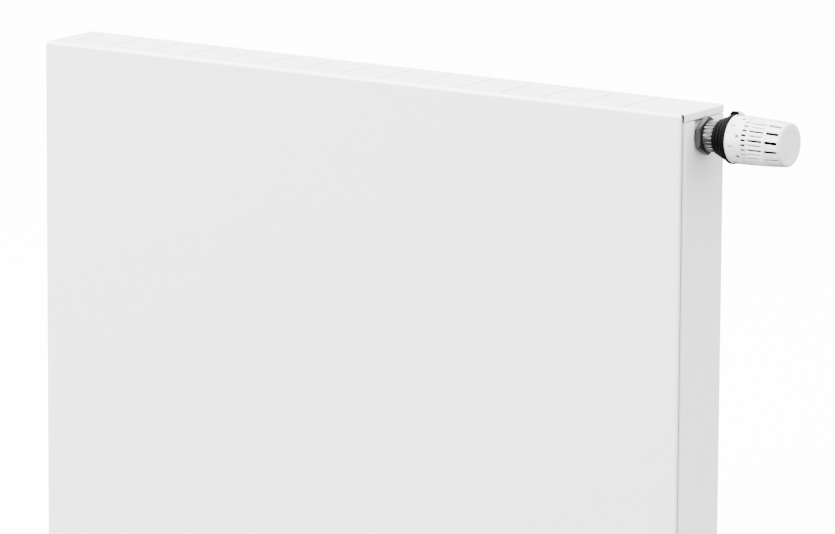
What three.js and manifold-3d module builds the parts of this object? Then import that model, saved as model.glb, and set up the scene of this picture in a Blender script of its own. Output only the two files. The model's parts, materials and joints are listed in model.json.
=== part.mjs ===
// Flat-fronted steel panel radiator with a thermostatic valve at its top right corner.
// Two water panels with a row of convector sections between them, joined by a tee at each corner,
// stand behind a smooth front sheet, under a slotted top grille and between two side covers.
// Supply water rises from the bottom right connection to the valve in the top right tee.
//
// Millimetres, +Z up, front facing -Y. Sizes are measured from the casing's front, left, bottom
// corner, and the whole model is then centred over the middle of its base.

import * as THREE from "three";
import { mergeVertices } from "three/addons/utils/BufferGeometryUtils.js";
import Module from "manifold-3d";

// ---- driving dimensions ----

const casing = { width: 800, height: 600, depth: 85 };
const gap = 0.3; // between neighbouring pieces that touch
const play = 0.4; // round a sleeve or pin
const past = 1; // how far a cut runs beyond the face it opens

const fascia = { sheet: 1.2, bend: 3.5, returnDepth: 7.5, bendSteps: 5 };
const padStrip = { width: 14, fromEnds: 60, channels: [2, 6] };

const panel = {
  sheet: 1.2,
  crown: 5.5, // height of the pressed channels above the seam
  seamFromFace: 8, // seam plane to the casing's front or back
  sideMargin: 4,
  topMargin: 5,
  bottomMargin: 8,
  flange: 4,
  header: 34,
  pitch: 50,
  channel: 30,
  draft: 3, // slope of the channel walls
  seamGap: 0.3,
};

const convector = {
  sheet: 0.6,
  depth: 34,
  crest: 22,
  bend: 1.5,
  firstChannel: 1,
  clearRight: 3, // channels left free for the riser pipe
  low: 70,
  high: 75,
};

const grille = { sheet: 1, lip: 8, bend: 1.5, frontGap: 0.5, bendSteps: 3 };
const grilleSlot = { width: 2.4, front: 11.4, back: 8.5, pitch: 50, first: 25, clearRight: 40, endSteps: 3 };
const clip = { sheet: 1, width: 20, bend: 1, leg: 4, places: [0.25, 0.5, 0.75] };

const cover = {
  sheet: 1,
  frontGap: 1.5, // behind the grille's front edge
  frontReturn: 6,
  backReturn: 12,
  bend: 1.8,
  bottom: 2,
  topGap: 0.4,
  bendSteps: 3,
};

const lug = {
  sheet: 2.5,
  reach: 12.2,
  bridge: 28,
  foot: 12,
  slope: 3,
  height: 50,
  bend: 2,
  channel: 2, // counted from either end
  fromEnd: 26, // lug's near edge to the end of the water panel
};

const tee = { fromEnd: 30, outer: 13, bore: 8, sidePort: 9.5, boss: 13.5, bossEnd: 13, sides: 16 };
const valveTee = { left: 21, seatFromAxis: 8, seatBore: 6, chamber: 10, right: 3, outer: 14 };

const nipple = { pitch: 50, bore: 9, wall: 4.2, end: 2, top: 14.7, sides: 24 };
const socket = { outer: 9, bore: 6, flange: 4, top: 24 };
const bracket = { sheet: 2.5, bottom: 9, beyondHole: 9.5, sideGap: 0.6 };
const riser = { outer: 7.5, bore: 6, bend: 26, sides: 12, bendSteps: 6 };

const plug = { shankLength: 15, head: 12.5, headThick: 6.3, flats: 8 };
const plugSeal = { thick: 1.1, wall: 2.6 };
const vent = { bore: 2.4, screw: 2, screwIn: 18, square: 4.2, squareOut: 0.8, port: 15 };
const spout = { inner: 3.4, outer: 7.5, start: 1, nozzle: 1.8, reach: 11 };

// The valve and its head lie on one axis. "out" is measured from the casing's side along +X.
const valve = {
  drop: 26, // axis below the casing's top
  notch: 16, // half width of the slot in the side cover
  shankIn: -18,
  neckIn: 11.6,
  hexFlats: 36,
  hexStart: 2,
  hexEnd: 8,
  thread: 12.8,
  threadLength: 6.5,
  springBore: 6.5,
  springBoreEnd: -4,
  sides: 24,
};
const seal = { outer: 15 };
const spindle = { radius: 2.9, collar: 5.8, collarStart: -7.5, collarEnd: -6, out: 18 };
const disc = { radius: 8, thick: 3, lift: 2.5 }; // lift is the open gap to the seat
const retainer = { thick: 1.8 };
const preset = { inner: 4.2, startGap: 0.5, thick: 2.7, notch: 2 };
const nut = { startGap: 0.6, endGap: 0.5, wall: 3.2, groove: 0.8, ribs: 24 };

const handle = {
  start: 39.2,
  startR: 25,
  scale: 19, // lengths of the scale, rib and window rings
  rib: 25.3,
  window: 17.5,
  scaleTaper: 0.2, // how far each ring's end lies inside the start's radius
  ribTaper: 1.1,
  endTaper: 2.4,
  wall: 1.8,
};
const notchRing = { startGap: 0.4, length: 5.6, count: 30, width: 2.3 };
const slotRing = { startGap: 8.3, endGap: 1, count: 15, width: 1.9 };
const windowRing = { startGap: 2.2, endGap: 1, count: 15, width: 3 };
const cutTurn = 7.8; // degrees from the pointer to a row of notch, slot and window
const cap = { length: 2, shoulderFromEnd: 1.1, shoulderIn: 0.3, edgeIn: 2.6, recessDepth: 1 };
const capDisc = { radius: 13.5 };

const base = {
  lipThick: 0.5,
  lipIn: 0.2, // lip radius inside the valve's thread
  hub: 10.9,
  hubWall: 1.5,
  floor: 21,
  floorThick: 2,
  pinHole: 4.4,
  tube: 15,
  tubeWall: 2.4,
  tubeEnd: 46,
  wall: 1.4,
  rimWall: 0.65,
  rimLength: 3.9,
  rimLap: 1.1, // how far the rim covers the handle's edge
  sides: 36,
};
const ridge = { count: 3, width: 4.2, pitch: 5.2, rise: 2.4, belowRim: 2.65, groove: 1.1 };
const pointer = { start: 33, end: 48.5, halfWidth: 2.4, aboveHandle: 3.2, tipDrop: 1.2, slope: 2 };
pointer.root = [
  // underside of the pointer, within the cone's wall, from the rim's start and bore
  [-0.9, -1.7],
  [0, 0.2],
];
pointer.rootStart = 2.7; // the same at the pointer's start, below the rim's bore

const capsule = { startGap: 2, length: 42, radius: 11, edge: 1.2 };
const piston = { radius: 3.5 };
const carrier = { sleeve: 2, start: 62, wall: 2 };
const limitClip = { start: 42, length: 6, thick: 2, width: 3, angles: [-40, -70] };

const returnSpring = { radius: 4.9, wire: 0.9, turns: 4 };
const overtravelSpring = { radius: 7, wire: 1.1, turns: 5 };
const springSteps = 8; // facets along one turn of a spring

// ---- sizes that follow from a neighbour's ----

cover.front = fascia.returnDepth + grille.frontGap + cover.frontGap;
nipple.outer = nipple.bore + nipple.wall;

plug.shank = tee.sidePort - gap;
plug.headEnd = tee.bossEnd - 2 * gap - plugSeal.thick;
plug.headStart = plug.headEnd - plug.headThick;
plugSeal.inner = plug.shank + play;
plugSeal.outer = plugSeal.inner + plugSeal.wall;
spout.end = plug.headStart - play;

valve.shank = valveTee.chamber - gap;
valve.threadEnd = valve.hexEnd + valve.threadLength;
valve.pinBore = spindle.radius + play;
seal.inner = valve.neckIn + play;
seal.end = valve.hexStart - gap;
retainer.inner = valve.pinBore + play / 4;
retainer.outer = valve.springBore - gap;

base.lip = valve.thread - base.lipIn;
base.lipStart = valve.threadEnd + gap;
base.lipEnd = base.lipStart + base.lipThick;
base.hubBore = base.hub - base.hubWall;
base.floorEnd = base.floor + base.floorThick;
base.tubeBore = base.tube - base.tubeWall;
preset.outer = base.hubBore - play;
preset.start = valve.threadEnd + preset.startGap;
preset.end = preset.start + preset.thick;
nut.start = valve.hexEnd + nut.startGap;
nut.end = base.floor - nut.endGap;
nut.bore = valve.thread + gap;
nut.outer = nut.bore + nut.wall;
nut.flangeStart = base.lipEnd + gap;
nut.flangeBore = base.hub + gap;

handle.scaleEnd = handle.start + handle.scale;
handle.ribEnd = handle.scaleEnd + handle.rib;
handle.end = handle.ribEnd + handle.window;
handle.scaleR = handle.startR - handle.scaleTaper;
handle.ribR = handle.startR - handle.ribTaper;
handle.endR = handle.startR - handle.endTaper;
notchRing.start = handle.scaleEnd + notchRing.startGap;
notchRing.end = notchRing.start + notchRing.length;
slotRing.start = handle.scaleEnd + slotRing.startGap;
slotRing.end = handle.ribEnd - slotRing.endGap;
windowRing.start = handle.ribEnd + windowRing.startGap;
windowRing.end = handle.end - windowRing.endGap;
cap.end = handle.end + cap.length;
cap.shoulderEnd = cap.end - cap.shoulderFromEnd;
cap.shoulder = handle.endR - cap.shoulderIn;
cap.edge = handle.endR - cap.edgeIn;
cap.recess = capDisc.radius + gap;

base.rimBore = handle.startR + gap;
base.rim = base.rimBore + base.rimWall;
base.rimEnd = handle.start + base.rimLap;
base.rimStart = base.rimEnd - base.rimLength;
pointer.top = handle.startR + pointer.aboveHandle;
capsule.start = base.tubeEnd + capsule.startGap;
capsule.end = capsule.start + capsule.length;
carrier.inner = capsule.radius + play;
carrier.outer = carrier.inner + carrier.sleeve;
carrier.flange = handle.endR - handle.wall - play;
limitClip.outer = handle.scaleR - handle.wall - play;
limitClip.inner = limitClip.outer - limitClip.thick;

// ---- derived places ----

const axisZ = casing.height - valve.drop;
const axisY = casing.depth / 2;
const frontSeam = panel.seamFromFace;
const rearSeam = casing.depth - panel.seamFromFace;
const frontCrown = frontSeam + panel.crown;
const rearCrown = rearSeam - panel.crown;
const panelBottom = panel.bottomMargin;
const panelTop = casing.height - panel.topMargin;
const ladderBottom = panelBottom + panel.flange;
const ladderTop = panelTop - panel.flange;
const bottomAxisZ = ladderBottom + panel.header / 2;
const channelCount = Math.round(casing.width / panel.pitch);
const firstChannel = (casing.width - (channelCount - 1) * panel.pitch) / 2;
const channelX = (index) => firstChannel + index * panel.pitch;
const mirrorChannel = (index) => channelCount - 1 - index;
const leftTeeX = tee.fromEnd;
const rightTeeX = casing.width - tee.fromEnd;
const supplyX = rightTeeX - nipple.pitch;
const backOfLugs = rearSeam + panel.crown + gap + lug.reach;

// ---- looks ----

const enamel = { color: 0xf4f5f6, roughness: 0.35, metalness: 0 };
const enamelInside = { color: 0xe9eaeb, roughness: 0.5, metalness: 0 };
const zincSteel = { color: 0xb7babd, roughness: 0.4, metalness: 0.9 };
const castGrey = { color: 0x77797b, roughness: 0.5, metalness: 0.8 };
const nickel = { color: 0xc4c2bd, roughness: 0.25, metalness: 1 };
const brass = { color: 0xc9a45a, roughness: 0.35, metalness: 1 };
const springSteel = { color: 0x9ea2a6, roughness: 0.3, metalness: 1 };
const blackPlastic = { color: 0x17181a, roughness: 0.45, metalness: 0 };
const whitePlastic = { color: 0xf3f4f4, roughness: 0.4, metalness: 0 };
const redPlastic = { color: 0xb8322a, roughness: 0.5, metalness: 0 };
const rubber = { color: 0x1c1c1c, roughness: 0.8, metalness: 0 };
const foamTape = { color: 0xd5d5d0, roughness: 0.95, metalness: 0 };

// ---- shape helpers ----

const wasm = await Module();
wasm.setup();

const radians = (degrees) => (degrees * Math.PI) / 180;

function toSolid(geometry) {
  geometry.deleteAttribute("normal");
  geometry.deleteAttribute("uv");
  const merged = mergeVertices(geometry, 1e-4);
  const mesh = new wasm.Mesh({
    numProp: 3,
    vertProperties: new Float32Array(merged.attributes.position.array),
    triVerts: new Uint32Array(merged.index.array),
  });
  return new wasm.Manifold(mesh);
}

function toGeometry(solid) {
  const mesh = solid.getMesh();
  const geometry = new THREE.BufferGeometry();
  geometry.setAttribute("position", new THREE.BufferAttribute(mesh.vertProperties, 3));
  geometry.setIndex(new THREE.BufferAttribute(mesh.triVerts, 1));
  geometry.computeVertexNormals();
  return geometry;
}

function without(solid, cuts) {
  return cuts.reduce((left, cut) => left.subtract(cut), solid);
}

function block([x0, x1], [y0, y1], [z0, z1]) {
  const geometry = new THREE.BoxGeometry(x1 - x0, y1 - y0, z1 - z0);
  geometry.translate((x0 + x1) / 2, (y0 + y1) / 2, (z0 + z1) / 2);
  return toSolid(geometry);
}

function outline(points) {
  return new THREE.Shape(points.map(([u, v]) => new THREE.Vector2(u, v)));
}

function flatExtrusion(shape, depth) {
  return new THREE.ExtrudeGeometry(shape, { depth, bevelEnabled: false, curveSegments: 8 });
}

// A plan section (x, y) raised along Z.
function raised(points, [z0, z1]) {
  const geometry = flatExtrusion(outline(points), z1 - z0);
  geometry.translate(0, 0, z0);
  return toSolid(geometry);
}

// A side section (y, z) run along X.
function runAlongX(points, [x0, x1]) {
  const geometry = flatExtrusion(outline(points), x1 - x0);
  geometry.applyMatrix4(new THREE.Matrix4().set(0, 0, 1, 0, 1, 0, 0, 0, 0, 1, 0, 0, 0, 0, 0, 1));
  geometry.translate(x0, 0, 0);
  return toSolid(geometry);
}

// A front section (x, z) run along Y.
function runAlongY(points, [y0, y1]) {
  const geometry = flatExtrusion(outline(points), y1 - y0);
  geometry.rotateX(Math.PI / 2);
  geometry.translate(0, y1, 0);
  return toSolid(geometry);
}

function arc([centreU, centreV], radius, from, to, steps) {
  const points = [];
  for (let step = 0; step <= steps; step += 1) {
    const angle = radians(from + ((to - from) * step) / steps);
    points.push([centreU + radius * Math.cos(angle), centreV + radius * Math.sin(angle)]);
  }
  return points;
}

function circle(centre, radius, sides) {
  return arc(centre, radius, 0, 360 - 360 / sides, sides - 1);
}

function rodX([y, z], radius, [x0, x1], sides) {
  return runAlongX(circle([y, z], radius, sides), [x0, x1]);
}

function rodY([x, z], radius, [y0, y1], sides) {
  return runAlongY(circle([x, z], radius, sides), [y0, y1]);
}

function rodZ([x, y], radius, [z0, z1], sides) {
  return raised(circle([x, y], radius, sides), [z0, z1]);
}

// A closed profile of [out, radius] points turned about the valve's axis.
function turned(profile, sides) {
  let area = 0;
  profile.forEach(([out, radius], index) => {
    const [nextOut, nextRadius] = profile[(index + 1) % profile.length];
    area += radius * nextOut - nextRadius * out;
  });
  const ordered = area > 0 ? profile : [...profile].reverse();
  const start = ordered.findIndex(([, radius]) => radius === 0);
  const shifted = start > 0 ? [...ordered.slice(start), ...ordered.slice(0, start)] : ordered;
  const onAxis = start >= 0;
  const lastOnAxis = onAxis && shifted[shifted.length - 1][1] === 0;
  const cut = lastOnAxis && shifted[1][1] === 0 ? [...shifted.slice(1), shifted[0]] : shifted;
  const points = cut.map(([out, radius]) => new THREE.Vector2(radius, out));
  if (!onAxis) points.push(points[0].clone());
  const geometry = new THREE.LatheGeometry(points, sides);
  geometry.rotateZ(-Math.PI / 2);
  return toSolid(geometry);
}

function ring([start, end], inner, outer, sides) {
  return turned([[start, inner], [start, outer], [end, outer], [end, inner]], sides);
}

// A strip of sheet bent along a path of [u, v] points, every corner rounded.
function bentStrip(path, thickness, bend, steps) {
  const left = [];
  const right = [];
  const place = (u, v, normalU, normalV) => {
    left.push([u + (normalU * thickness) / 2, v + (normalV * thickness) / 2]);
    right.push([u - (normalU * thickness) / 2, v - (normalV * thickness) / 2]);
  };
  const heading = (from, to) => Math.atan2(to[1] - from[1], to[0] - from[0]);
  path.forEach((point, index) => {
    const before = path[index - 1];
    const after = path[index + 1];
    if (!before || !after) {
      const angle = before ? heading(before, point) : heading(point, after);
      place(point[0], point[1], -Math.sin(angle), Math.cos(angle));
      return;
    }
    const into = heading(before, point);
    const turn = Math.atan2(Math.sin(heading(point, after) - into), Math.cos(heading(point, after) - into));
    const side = Math.sign(turn);
    const setBack = bend * Math.tan(Math.abs(turn) / 2);
    const centreU = point[0] - setBack * Math.cos(into) - side * bend * Math.sin(into);
    const centreV = point[1] - setBack * Math.sin(into) + side * bend * Math.cos(into);
    for (let step = 0; step <= steps; step += 1) {
      const angle = into + (turn * step) / steps;
      const normalU = -Math.sin(angle);
      const normalV = Math.cos(angle);
      place(centreU - side * bend * normalU, centreV - side * bend * normalV, normalU, normalV);
    }
  });
  return [...right, ...left.reverse()];
}

class Helix extends THREE.Curve {
  constructor(radius, turns, start, end) {
    super();
    Object.assign(this, { radius, turns, start, end });
  }

  getPoint(t, target = new THREE.Vector3()) {
    const angle = 2 * Math.PI * this.turns * t;
    const out = this.start + (this.end - this.start) * t;
    return target.set(out, this.radius * Math.cos(angle), this.radius * Math.sin(angle));
  }
}

// A route of given points and headings, so that a sweep has one section at each of them.
class PointRoute extends THREE.Curve {
  constructor(points, headings) {
    super();
    Object.assign(this, { points, headings });
  }

  nearest(list, u) {
    return list[Math.round(u * (list.length - 1))].clone();
  }

  getPointAt(u) {
    return this.nearest(this.points, u);
  }

  getTangentAt(u) {
    return this.nearest(this.headings, u);
  }
}

function sweptRound(curve, radius, sides, steps) {
  const shape = outline(circle([0, 0], radius, sides));
  return new THREE.ExtrudeGeometry(shape, { steps, bevelEnabled: false, extrudePath: curve });
}

function spring({ radius, wire, turns }, [start, end]) {
  const curve = new Helix(radius, turns, start + wire, end - wire);
  return toSolid(sweptRound(curve, wire / 2, 6, turns * springSteps));
}

const model = new THREE.Group();
model.position.set(-(casing.width + cap.end) / 2, -backOfLugs / 2, 0);
const onValveAxis = new THREE.Group();
onValveAxis.position.set(casing.width, axisY, axisZ);
model.add(onValveAxis);

function piece(group, name, solid, look) {
  const mesh = new THREE.Mesh(toGeometry(solid), new THREE.MeshStandardMaterial(look));
  mesh.name = name;
  group.add(mesh);
  return mesh;
}

// ---- casing ----

// The space inside the fascia's front, side, top and bottom faces, drawn in by "inset".
function fasciaBlock(inset, back) {
  const { bend, bendSteps } = fascia;
  const radius = bend - inset;
  const right = casing.width - bend;
  const top = casing.height - bend;
  const plan = [
    [inset, back],
    ...arc([bend, bend], radius, 180, 270, bendSteps),
    ...arc([right, bend], radius, 270, 360, bendSteps),
    [casing.width - inset, back],
  ];
  const side = [
    [back, inset],
    [back, casing.height - inset],
    ...arc([bend, top], radius, 90, 180, bendSteps),
    ...arc([bend, bend], radius, 180, 270, bendSteps),
  ];
  return raised(plan, [0, casing.height]).intersect(runAlongX(side, [0, casing.width]));
}

function frontFascia() {
  const outside = fasciaBlock(0, fascia.returnDepth);
  const inside = fasciaBlock(fascia.sheet, fascia.returnDepth + past);
  return outside.subtract(inside);
}

// Double-sided tape that holds the fascia to the front panel's channels.
function fasciaPad(index) {
  const middle = channelX(index);
  const x = [middle - padStrip.width / 2, middle + padStrip.width / 2];
  const y = [fascia.sheet + gap, frontSeam - panel.crown - gap];
  const z = [padStrip.fromEnds, casing.height - padStrip.fromEnds];
  return block(x, y, z);
}

function grilleBlock(inset, front, low) {
  const { bend, bendSteps } = grille;
  const radius = bend - inset;
  const top = casing.height - bend;
  const across = [
    [inset, low],
    [casing.width - inset, low],
    ...arc([casing.width - bend, top], radius, 0, 90, bendSteps),
    ...arc([bend, top], radius, 90, 180, bendSteps),
  ];
  const side = [
    [front, low],
    [casing.depth - inset, low],
    ...arc([casing.depth - bend, top], radius, 0, 90, bendSteps),
    [front, casing.height - inset],
  ];
  return runAlongY(across, [front, casing.depth]).intersect(runAlongX(side, [0, casing.width]));
}

function slotCut(x) {
  const half = grilleSlot.width / 2;
  const plan = [
    ...arc([x, grilleSlot.front + half], half, 180, 360, grilleSlot.endSteps),
    ...arc([x, casing.depth - grilleSlot.back - half], half, 0, 180, grilleSlot.endSteps),
  ];
  return raised(plan, [casing.height - grille.lip, casing.height + past]);
}

function topGrille() {
  const front = fascia.returnDepth + grille.frontGap;
  const low = casing.height - grille.lip;
  const inside = grilleBlock(grille.sheet, front - past, low - past);
  const cuts = [inside];
  const last = casing.width - grilleSlot.clearRight;
  for (let x = grilleSlot.first; x < last; x += grilleSlot.pitch) cuts.push(slotCut(x));
  return without(grilleBlock(0, front, low), cuts);
}

// A spring strip under the grille that sits between the two panels' top seams.
function grilleClip(place) {
  const middle = casing.width * place;
  const legOffset = panel.seamGap / 2 + panel.sheet + gap + clip.sheet / 2;
  const top = panelTop + gap + clip.sheet / 2;
  const low = top - clip.leg;
  const path = [
    [frontSeam + legOffset, low],
    [frontSeam + legOffset, top],
    [rearSeam - legOffset, top],
    [rearSeam - legOffset, low],
  ];
  const section = bentStrip(path, clip.sheet, clip.bend, 2);
  return runAlongX(section, [middle - clip.width / 2, middle + clip.width / 2]);
}

// A side cover's folded sheet, drawn for the right-hand side.
function coverSheet() {
  const half = cover.sheet / 2;
  const outer = casing.width - half;
  const path = [
    [casing.width - cover.frontReturn, cover.front + half],
    [outer, cover.front + half],
    [outer, casing.depth - half],
    [casing.width - cover.backReturn, casing.depth - half],
  ];
  const section = bentStrip(path, cover.sheet, cover.bend, cover.bendSteps);
  return raised(section, [cover.bottom, casing.height - grille.lip - cover.topGap]);
}

function rightCover() {
  const x = [casing.width - cover.frontReturn, casing.width + past];
  const y = [axisY - valve.notch, axisY + valve.notch];
  const slot = block(x, y, [axisZ, casing.height]);
  const bottom = rodX([axisY, axisZ], valve.notch, x, valve.sides);
  return without(coverSheet(), [slot, bottom]);
}

function leftCover() {
  const sheet = coverSheet().mirror([1, 0, 0]).translate([casing.width, 0, 0]);
  return sheet.subtract(rodX([axisY, axisZ], vent.port, [-past, cover.frontReturn], valve.sides));
}

// ---- water panels ----

// A block between y = 0 and y = -crown that grows by "flare" all round towards -Y.
function flaredBlock([x0, x1], [z0, z1], crown, flare) {
  const geometry = new THREE.BoxGeometry(x1 - x0, crown, z1 - z0);
  const corners = geometry.attributes.position;
  for (let index = 0; index < corners.count; index += 1) {
    if (corners.getY(index) > 0) continue;
    corners.setX(index, corners.getX(index) + Math.sign(corners.getX(index)) * flare);
    corners.setZ(index, corners.getZ(index) + Math.sign(corners.getZ(index)) * flare);
  }
  geometry.translate((x0 + x1) / 2, -crown / 2, (z0 + z1) / 2);
  return toSolid(geometry);
}

// The pressed headers and channels of one half shell, as a block standing towards -Y from y = 0.
function ladderBlock(inset, crown) {
  const left = panel.sideMargin + panel.flange + inset;
  const x = [left, casing.width - left];
  const whole = flaredBlock(x, [ladderBottom + inset, ladderTop - inset], crown, -panel.draft);
  const z = [ladderBottom + panel.header - inset, ladderTop - panel.header + inset];
  const valleys = [];
  for (let index = 0; index < channelCount - 1; index += 1) {
    const from = channelX(index) + panel.channel / 2 - inset;
    const to = channelX(index + 1) - panel.channel / 2 + inset;
    valleys.push(flaredBlock([from, to], z, crown + past, panel.draft));
  }
  return without(whole, valleys);
}

function halfShell(ports) {
  const seam = -panel.seamGap / 2;
  const x = [panel.sideMargin, casing.width - panel.sideMargin];
  const plate = block(x, [seam - panel.sheet, seam], [panelBottom, panelTop]);
  const outside = plate.add(ladderBlock(0, panel.crown));
  const hollow = ladderBlock(panel.sheet, panel.crown - panel.sheet);
  const beyondSeam = block([0, casing.width], [seam, panel.seamFromFace], [0, casing.height]);
  return without(outside, [hollow, beyondSeam, ...ports]);
}

function waterPorts() {
  const ports = [];
  for (const x of [leftTeeX, rightTeeX]) {
    for (const z of [bottomAxisZ, axisZ]) {
      ports.push(rodY([x, z], tee.bore, [-panel.crown - past, 0], tee.sides));
    }
  }
  return ports;
}

function waterPanels() {
  const outer = halfShell([]);
  const inner = halfShell(waterPorts());
  const facing = (solid) => solid.rotate([0, 0, 180]).translate([casing.width, 0, 0]);
  piece(model, "front_panel_outer_sheet", outer.translate([0, frontSeam, 0]), enamelInside);
  piece(model, "front_panel_inner_sheet", facing(inner).translate([0, frontSeam, 0]), enamelInside);
  piece(model, "rear_panel_inner_sheet", inner.translate([0, rearSeam, 0]), enamelInside);
  piece(model, "rear_panel_outer_sheet", facing(outer).translate([0, rearSeam, 0]), enamel);
}

// A hat-shaped sheet with its two feet welded to neighbouring channels of the front panel.
function convectorSection(channel) {
  const near = frontCrown + gap + convector.sheet / 2;
  const far = near + convector.depth;
  const half = convector.crest / 2;
  const [first, second] = [channelX(channel), channelX(channel + 1)];
  const middle = (first + second) / 2;
  const path = [
    [first - half, near],
    [first + half, near],
    [middle - half, far],
    [middle + half, far],
    [second - half, near],
    [second + half, near],
  ];
  const section = bentStrip(path, convector.sheet, convector.bend, 1);
  return raised(section, [convector.low, casing.height - convector.high]);
}

function convectorSections() {
  const last = mirrorChannel(convector.clearRight);
  let number = 1;
  for (let channel = convector.firstChannel; channel < last; channel += 2) {
    piece(model, `convector_${number}`, convectorSection(channel), enamelInside);
    number += 1;
  }
}

// ---- corner tees, connections and plugs ----

const betweenPanels = [frontCrown + gap, rearCrown - gap];

function leftTee(z) {
  const side = [tee.bossEnd, leftTeeX];
  const body = rodY([leftTeeX, z], tee.outer, betweenPanels, tee.sides);
  const boss = rodX([axisY, z], tee.boss, side, tee.sides);
  const bore = rodY([leftTeeX, z], tee.bore, [0, casing.depth], tee.sides);
  const port = rodX([axisY, z], tee.sidePort, [0, leftTeeX], tee.sides);
  return without(body.add(boss), [bore, port]);
}

function returnTee() {
  const body = rodY([rightTeeX, bottomAxisZ], tee.outer, betweenPanels, tee.sides);
  const drop = rodZ([rightTeeX, axisY], tee.boss, [nipple.top + gap, bottomAxisZ], tee.sides);
  const bore = rodY([rightTeeX, bottomAxisZ], tee.bore, [0, casing.depth], tee.sides);
  const port = rodZ([rightTeeX, axisY], tee.bore, [0, bottomAxisZ], tee.sides);
  return without(body.add(drop), [bore, port]);
}

function valveTeeBody() {
  const end = casing.width - valveTee.right;
  const left = rightTeeX - valveTee.left;
  const seat = rightTeeX - valveTee.seatFromAxis;
  const body = rodY([rightTeeX, axisZ], tee.outer, betweenPanels, tee.sides);
  const barrel = rodX([axisY, axisZ], valveTee.outer, [left, end], valve.sides);
  const bore = rodY([rightTeeX, axisZ], tee.bore, [0, casing.depth], tee.sides);
  const seatBore = rodX([axisY, axisZ], valveTee.seatBore, [left - past, seat + past], tee.sides);
  const chamber = rodX([axisY, axisZ], valveTee.chamber, [seat, end + past], valve.sides);
  return without(body.add(barrel), [bore, seatBore, chamber]);
}

function connectionBracket() {
  const beyond = nipple.outer + gap + bracket.beyondHole;
  const x = [supplyX - beyond, rightTeeX + beyond];
  const y = [frontSeam + panel.sheet + bracket.sideGap, rearSeam - panel.sheet - bracket.sideGap];
  const z = [bracket.bottom, bracket.bottom + bracket.sheet];
  const holes = [supplyX, rightTeeX].map((centre) =>
    rodZ([centre, axisY], nipple.outer + gap, [z[0] - past, z[1] + past], nipple.sides));
  return without(block(x, y, z), holes);
}

function connectionNipple(x, top) {
  const outside = rodZ([x, axisY], nipple.outer, [nipple.end, top], nipple.sides);
  const bore = rodZ([x, axisY], nipple.bore, [0, top + past], nipple.sides);
  return outside.subtract(bore);
}

// Closes the supply nipple's top and takes the foot of the riser pipe.
function riserSocket() {
  const centre = [supplyX, axisY];
  const flange = rodZ(centre, nipple.outer, [nipple.top - socket.flange, nipple.top], nipple.sides);
  const spigot = rodZ(centre, socket.outer, [nipple.top - past, socket.top], nipple.sides);
  const bore = rodZ(centre, socket.bore, [0, socket.top + past], nipple.sides);
  return flange.add(spigot).subtract(bore);
}

// The pipe from the supply connection up to the valve's seat, "extra" longer at each end.
function riserRod(radius, extra) {
  const low = socket.top + gap - extra;
  const end = rightTeeX - valveTee.left - gap + extra;
  const up = new THREE.Vector3(0, 0, 1);
  const points = [new THREE.Vector3(supplyX, axisY, low)];
  const headings = [up];
  for (let step = 0; step <= riser.bendSteps; step += 1) {
    const angle = ((Math.PI / 2) * step) / riser.bendSteps;
    const x = supplyX + riser.bend * (1 - Math.cos(angle));
    const z = axisZ - riser.bend * (1 - Math.sin(angle));
    points.push(new THREE.Vector3(x, axisY, z));
    headings.push(new THREE.Vector3(Math.sin(angle), 0, Math.cos(angle)));
  }
  points.push(new THREE.Vector3(end, axisY, axisZ));
  headings.push(new THREE.Vector3(1, 0, 0));
  return toSolid(sweptRound(new PointRoute(points, headings), radius, riser.sides, points.length - 1));
}

function riserPipe() {
  return riserRod(riser.outer, 0).subtract(riserRod(riser.bore, past));
}

function plugBody(z) {
  const shankEnd = tee.bossEnd + plug.shankLength;
  const shank = rodX([axisY, z], plug.shank, [plug.headStart, shankEnd], tee.sides);
  const head = rodX([axisY, z], plug.head, [plug.headStart, plug.headEnd], plug.flats);
  return shank.add(head);
}

function plugRing(z) {
  const x = [plug.headEnd + gap, tee.bossEnd - gap];
  const outside = rodX([axisY, z], plugSeal.outer, x, tee.sides);
  return outside.subtract(rodX([axisY, z], plugSeal.inner, [0, casing.width], tee.sides));
}

function ventPlug() {
  const axis = [axisY, axisZ];
  return plugBody(axisZ).subtract(rodX(axis, vent.bore, [0, leftTeeX], tee.sides));
}

function ventScrew() {
  const axis = [axisY, axisZ];
  const shaft = rodX(axis, vent.screw, [spout.start, vent.screwIn], tee.sides);
  const square = rodX(axis, vent.square / Math.SQRT2, [vent.squareOut, spout.end], 4);
  return shaft.add(square);
}

function ventSpout() {
  const axis = [axisY, axisZ];
  const x = [spout.start, spout.end];
  const middle = (spout.start + spout.end) / 2;
  const collar = rodX(axis, spout.outer, x, tee.sides);
  const nozzle = rodZ([middle, axisY], spout.nozzle, [axisZ - spout.reach, axisZ], tee.sides);
  return collar.add(nozzle).subtract(rodX(axis, spout.inner, [0, leftTeeX], tee.sides));
}

// Hat-shaped lug that a wall hook reaches up into, drawn about x = 0 and y = 0 at the panel.
function lugBody() {
  const half = lug.sheet / 2;
  const inner = lug.bridge / 2;
  const path = [
    [-inner - lug.slope - lug.foot, half],
    [-inner - lug.slope, half],
    [-inner, lug.reach - half],
    [inner, lug.reach - half],
    [inner + lug.slope, half],
    [inner + lug.slope + lug.foot, half],
  ];
  return raised(bentStrip(path, lug.sheet, lug.bend, 2), [0, lug.height]);
}

function wallLugs() {
  const y = rearSeam + panel.crown + gap;
  const heights = { lower: panelBottom + lug.fromEnd, upper: panelTop - lug.fromEnd - lug.height };
  const sides = { left: channelX(lug.channel), right: channelX(mirrorChannel(lug.channel)) };
  for (const [level, z] of Object.entries(heights)) {
    for (const [side, x] of Object.entries(sides)) {
      piece(model, `wall_lug_${level}_${side}`, lugBody().translate([x, y, z]), enamel);
    }
  }
}

// ---- valve, on its own axis ----

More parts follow.
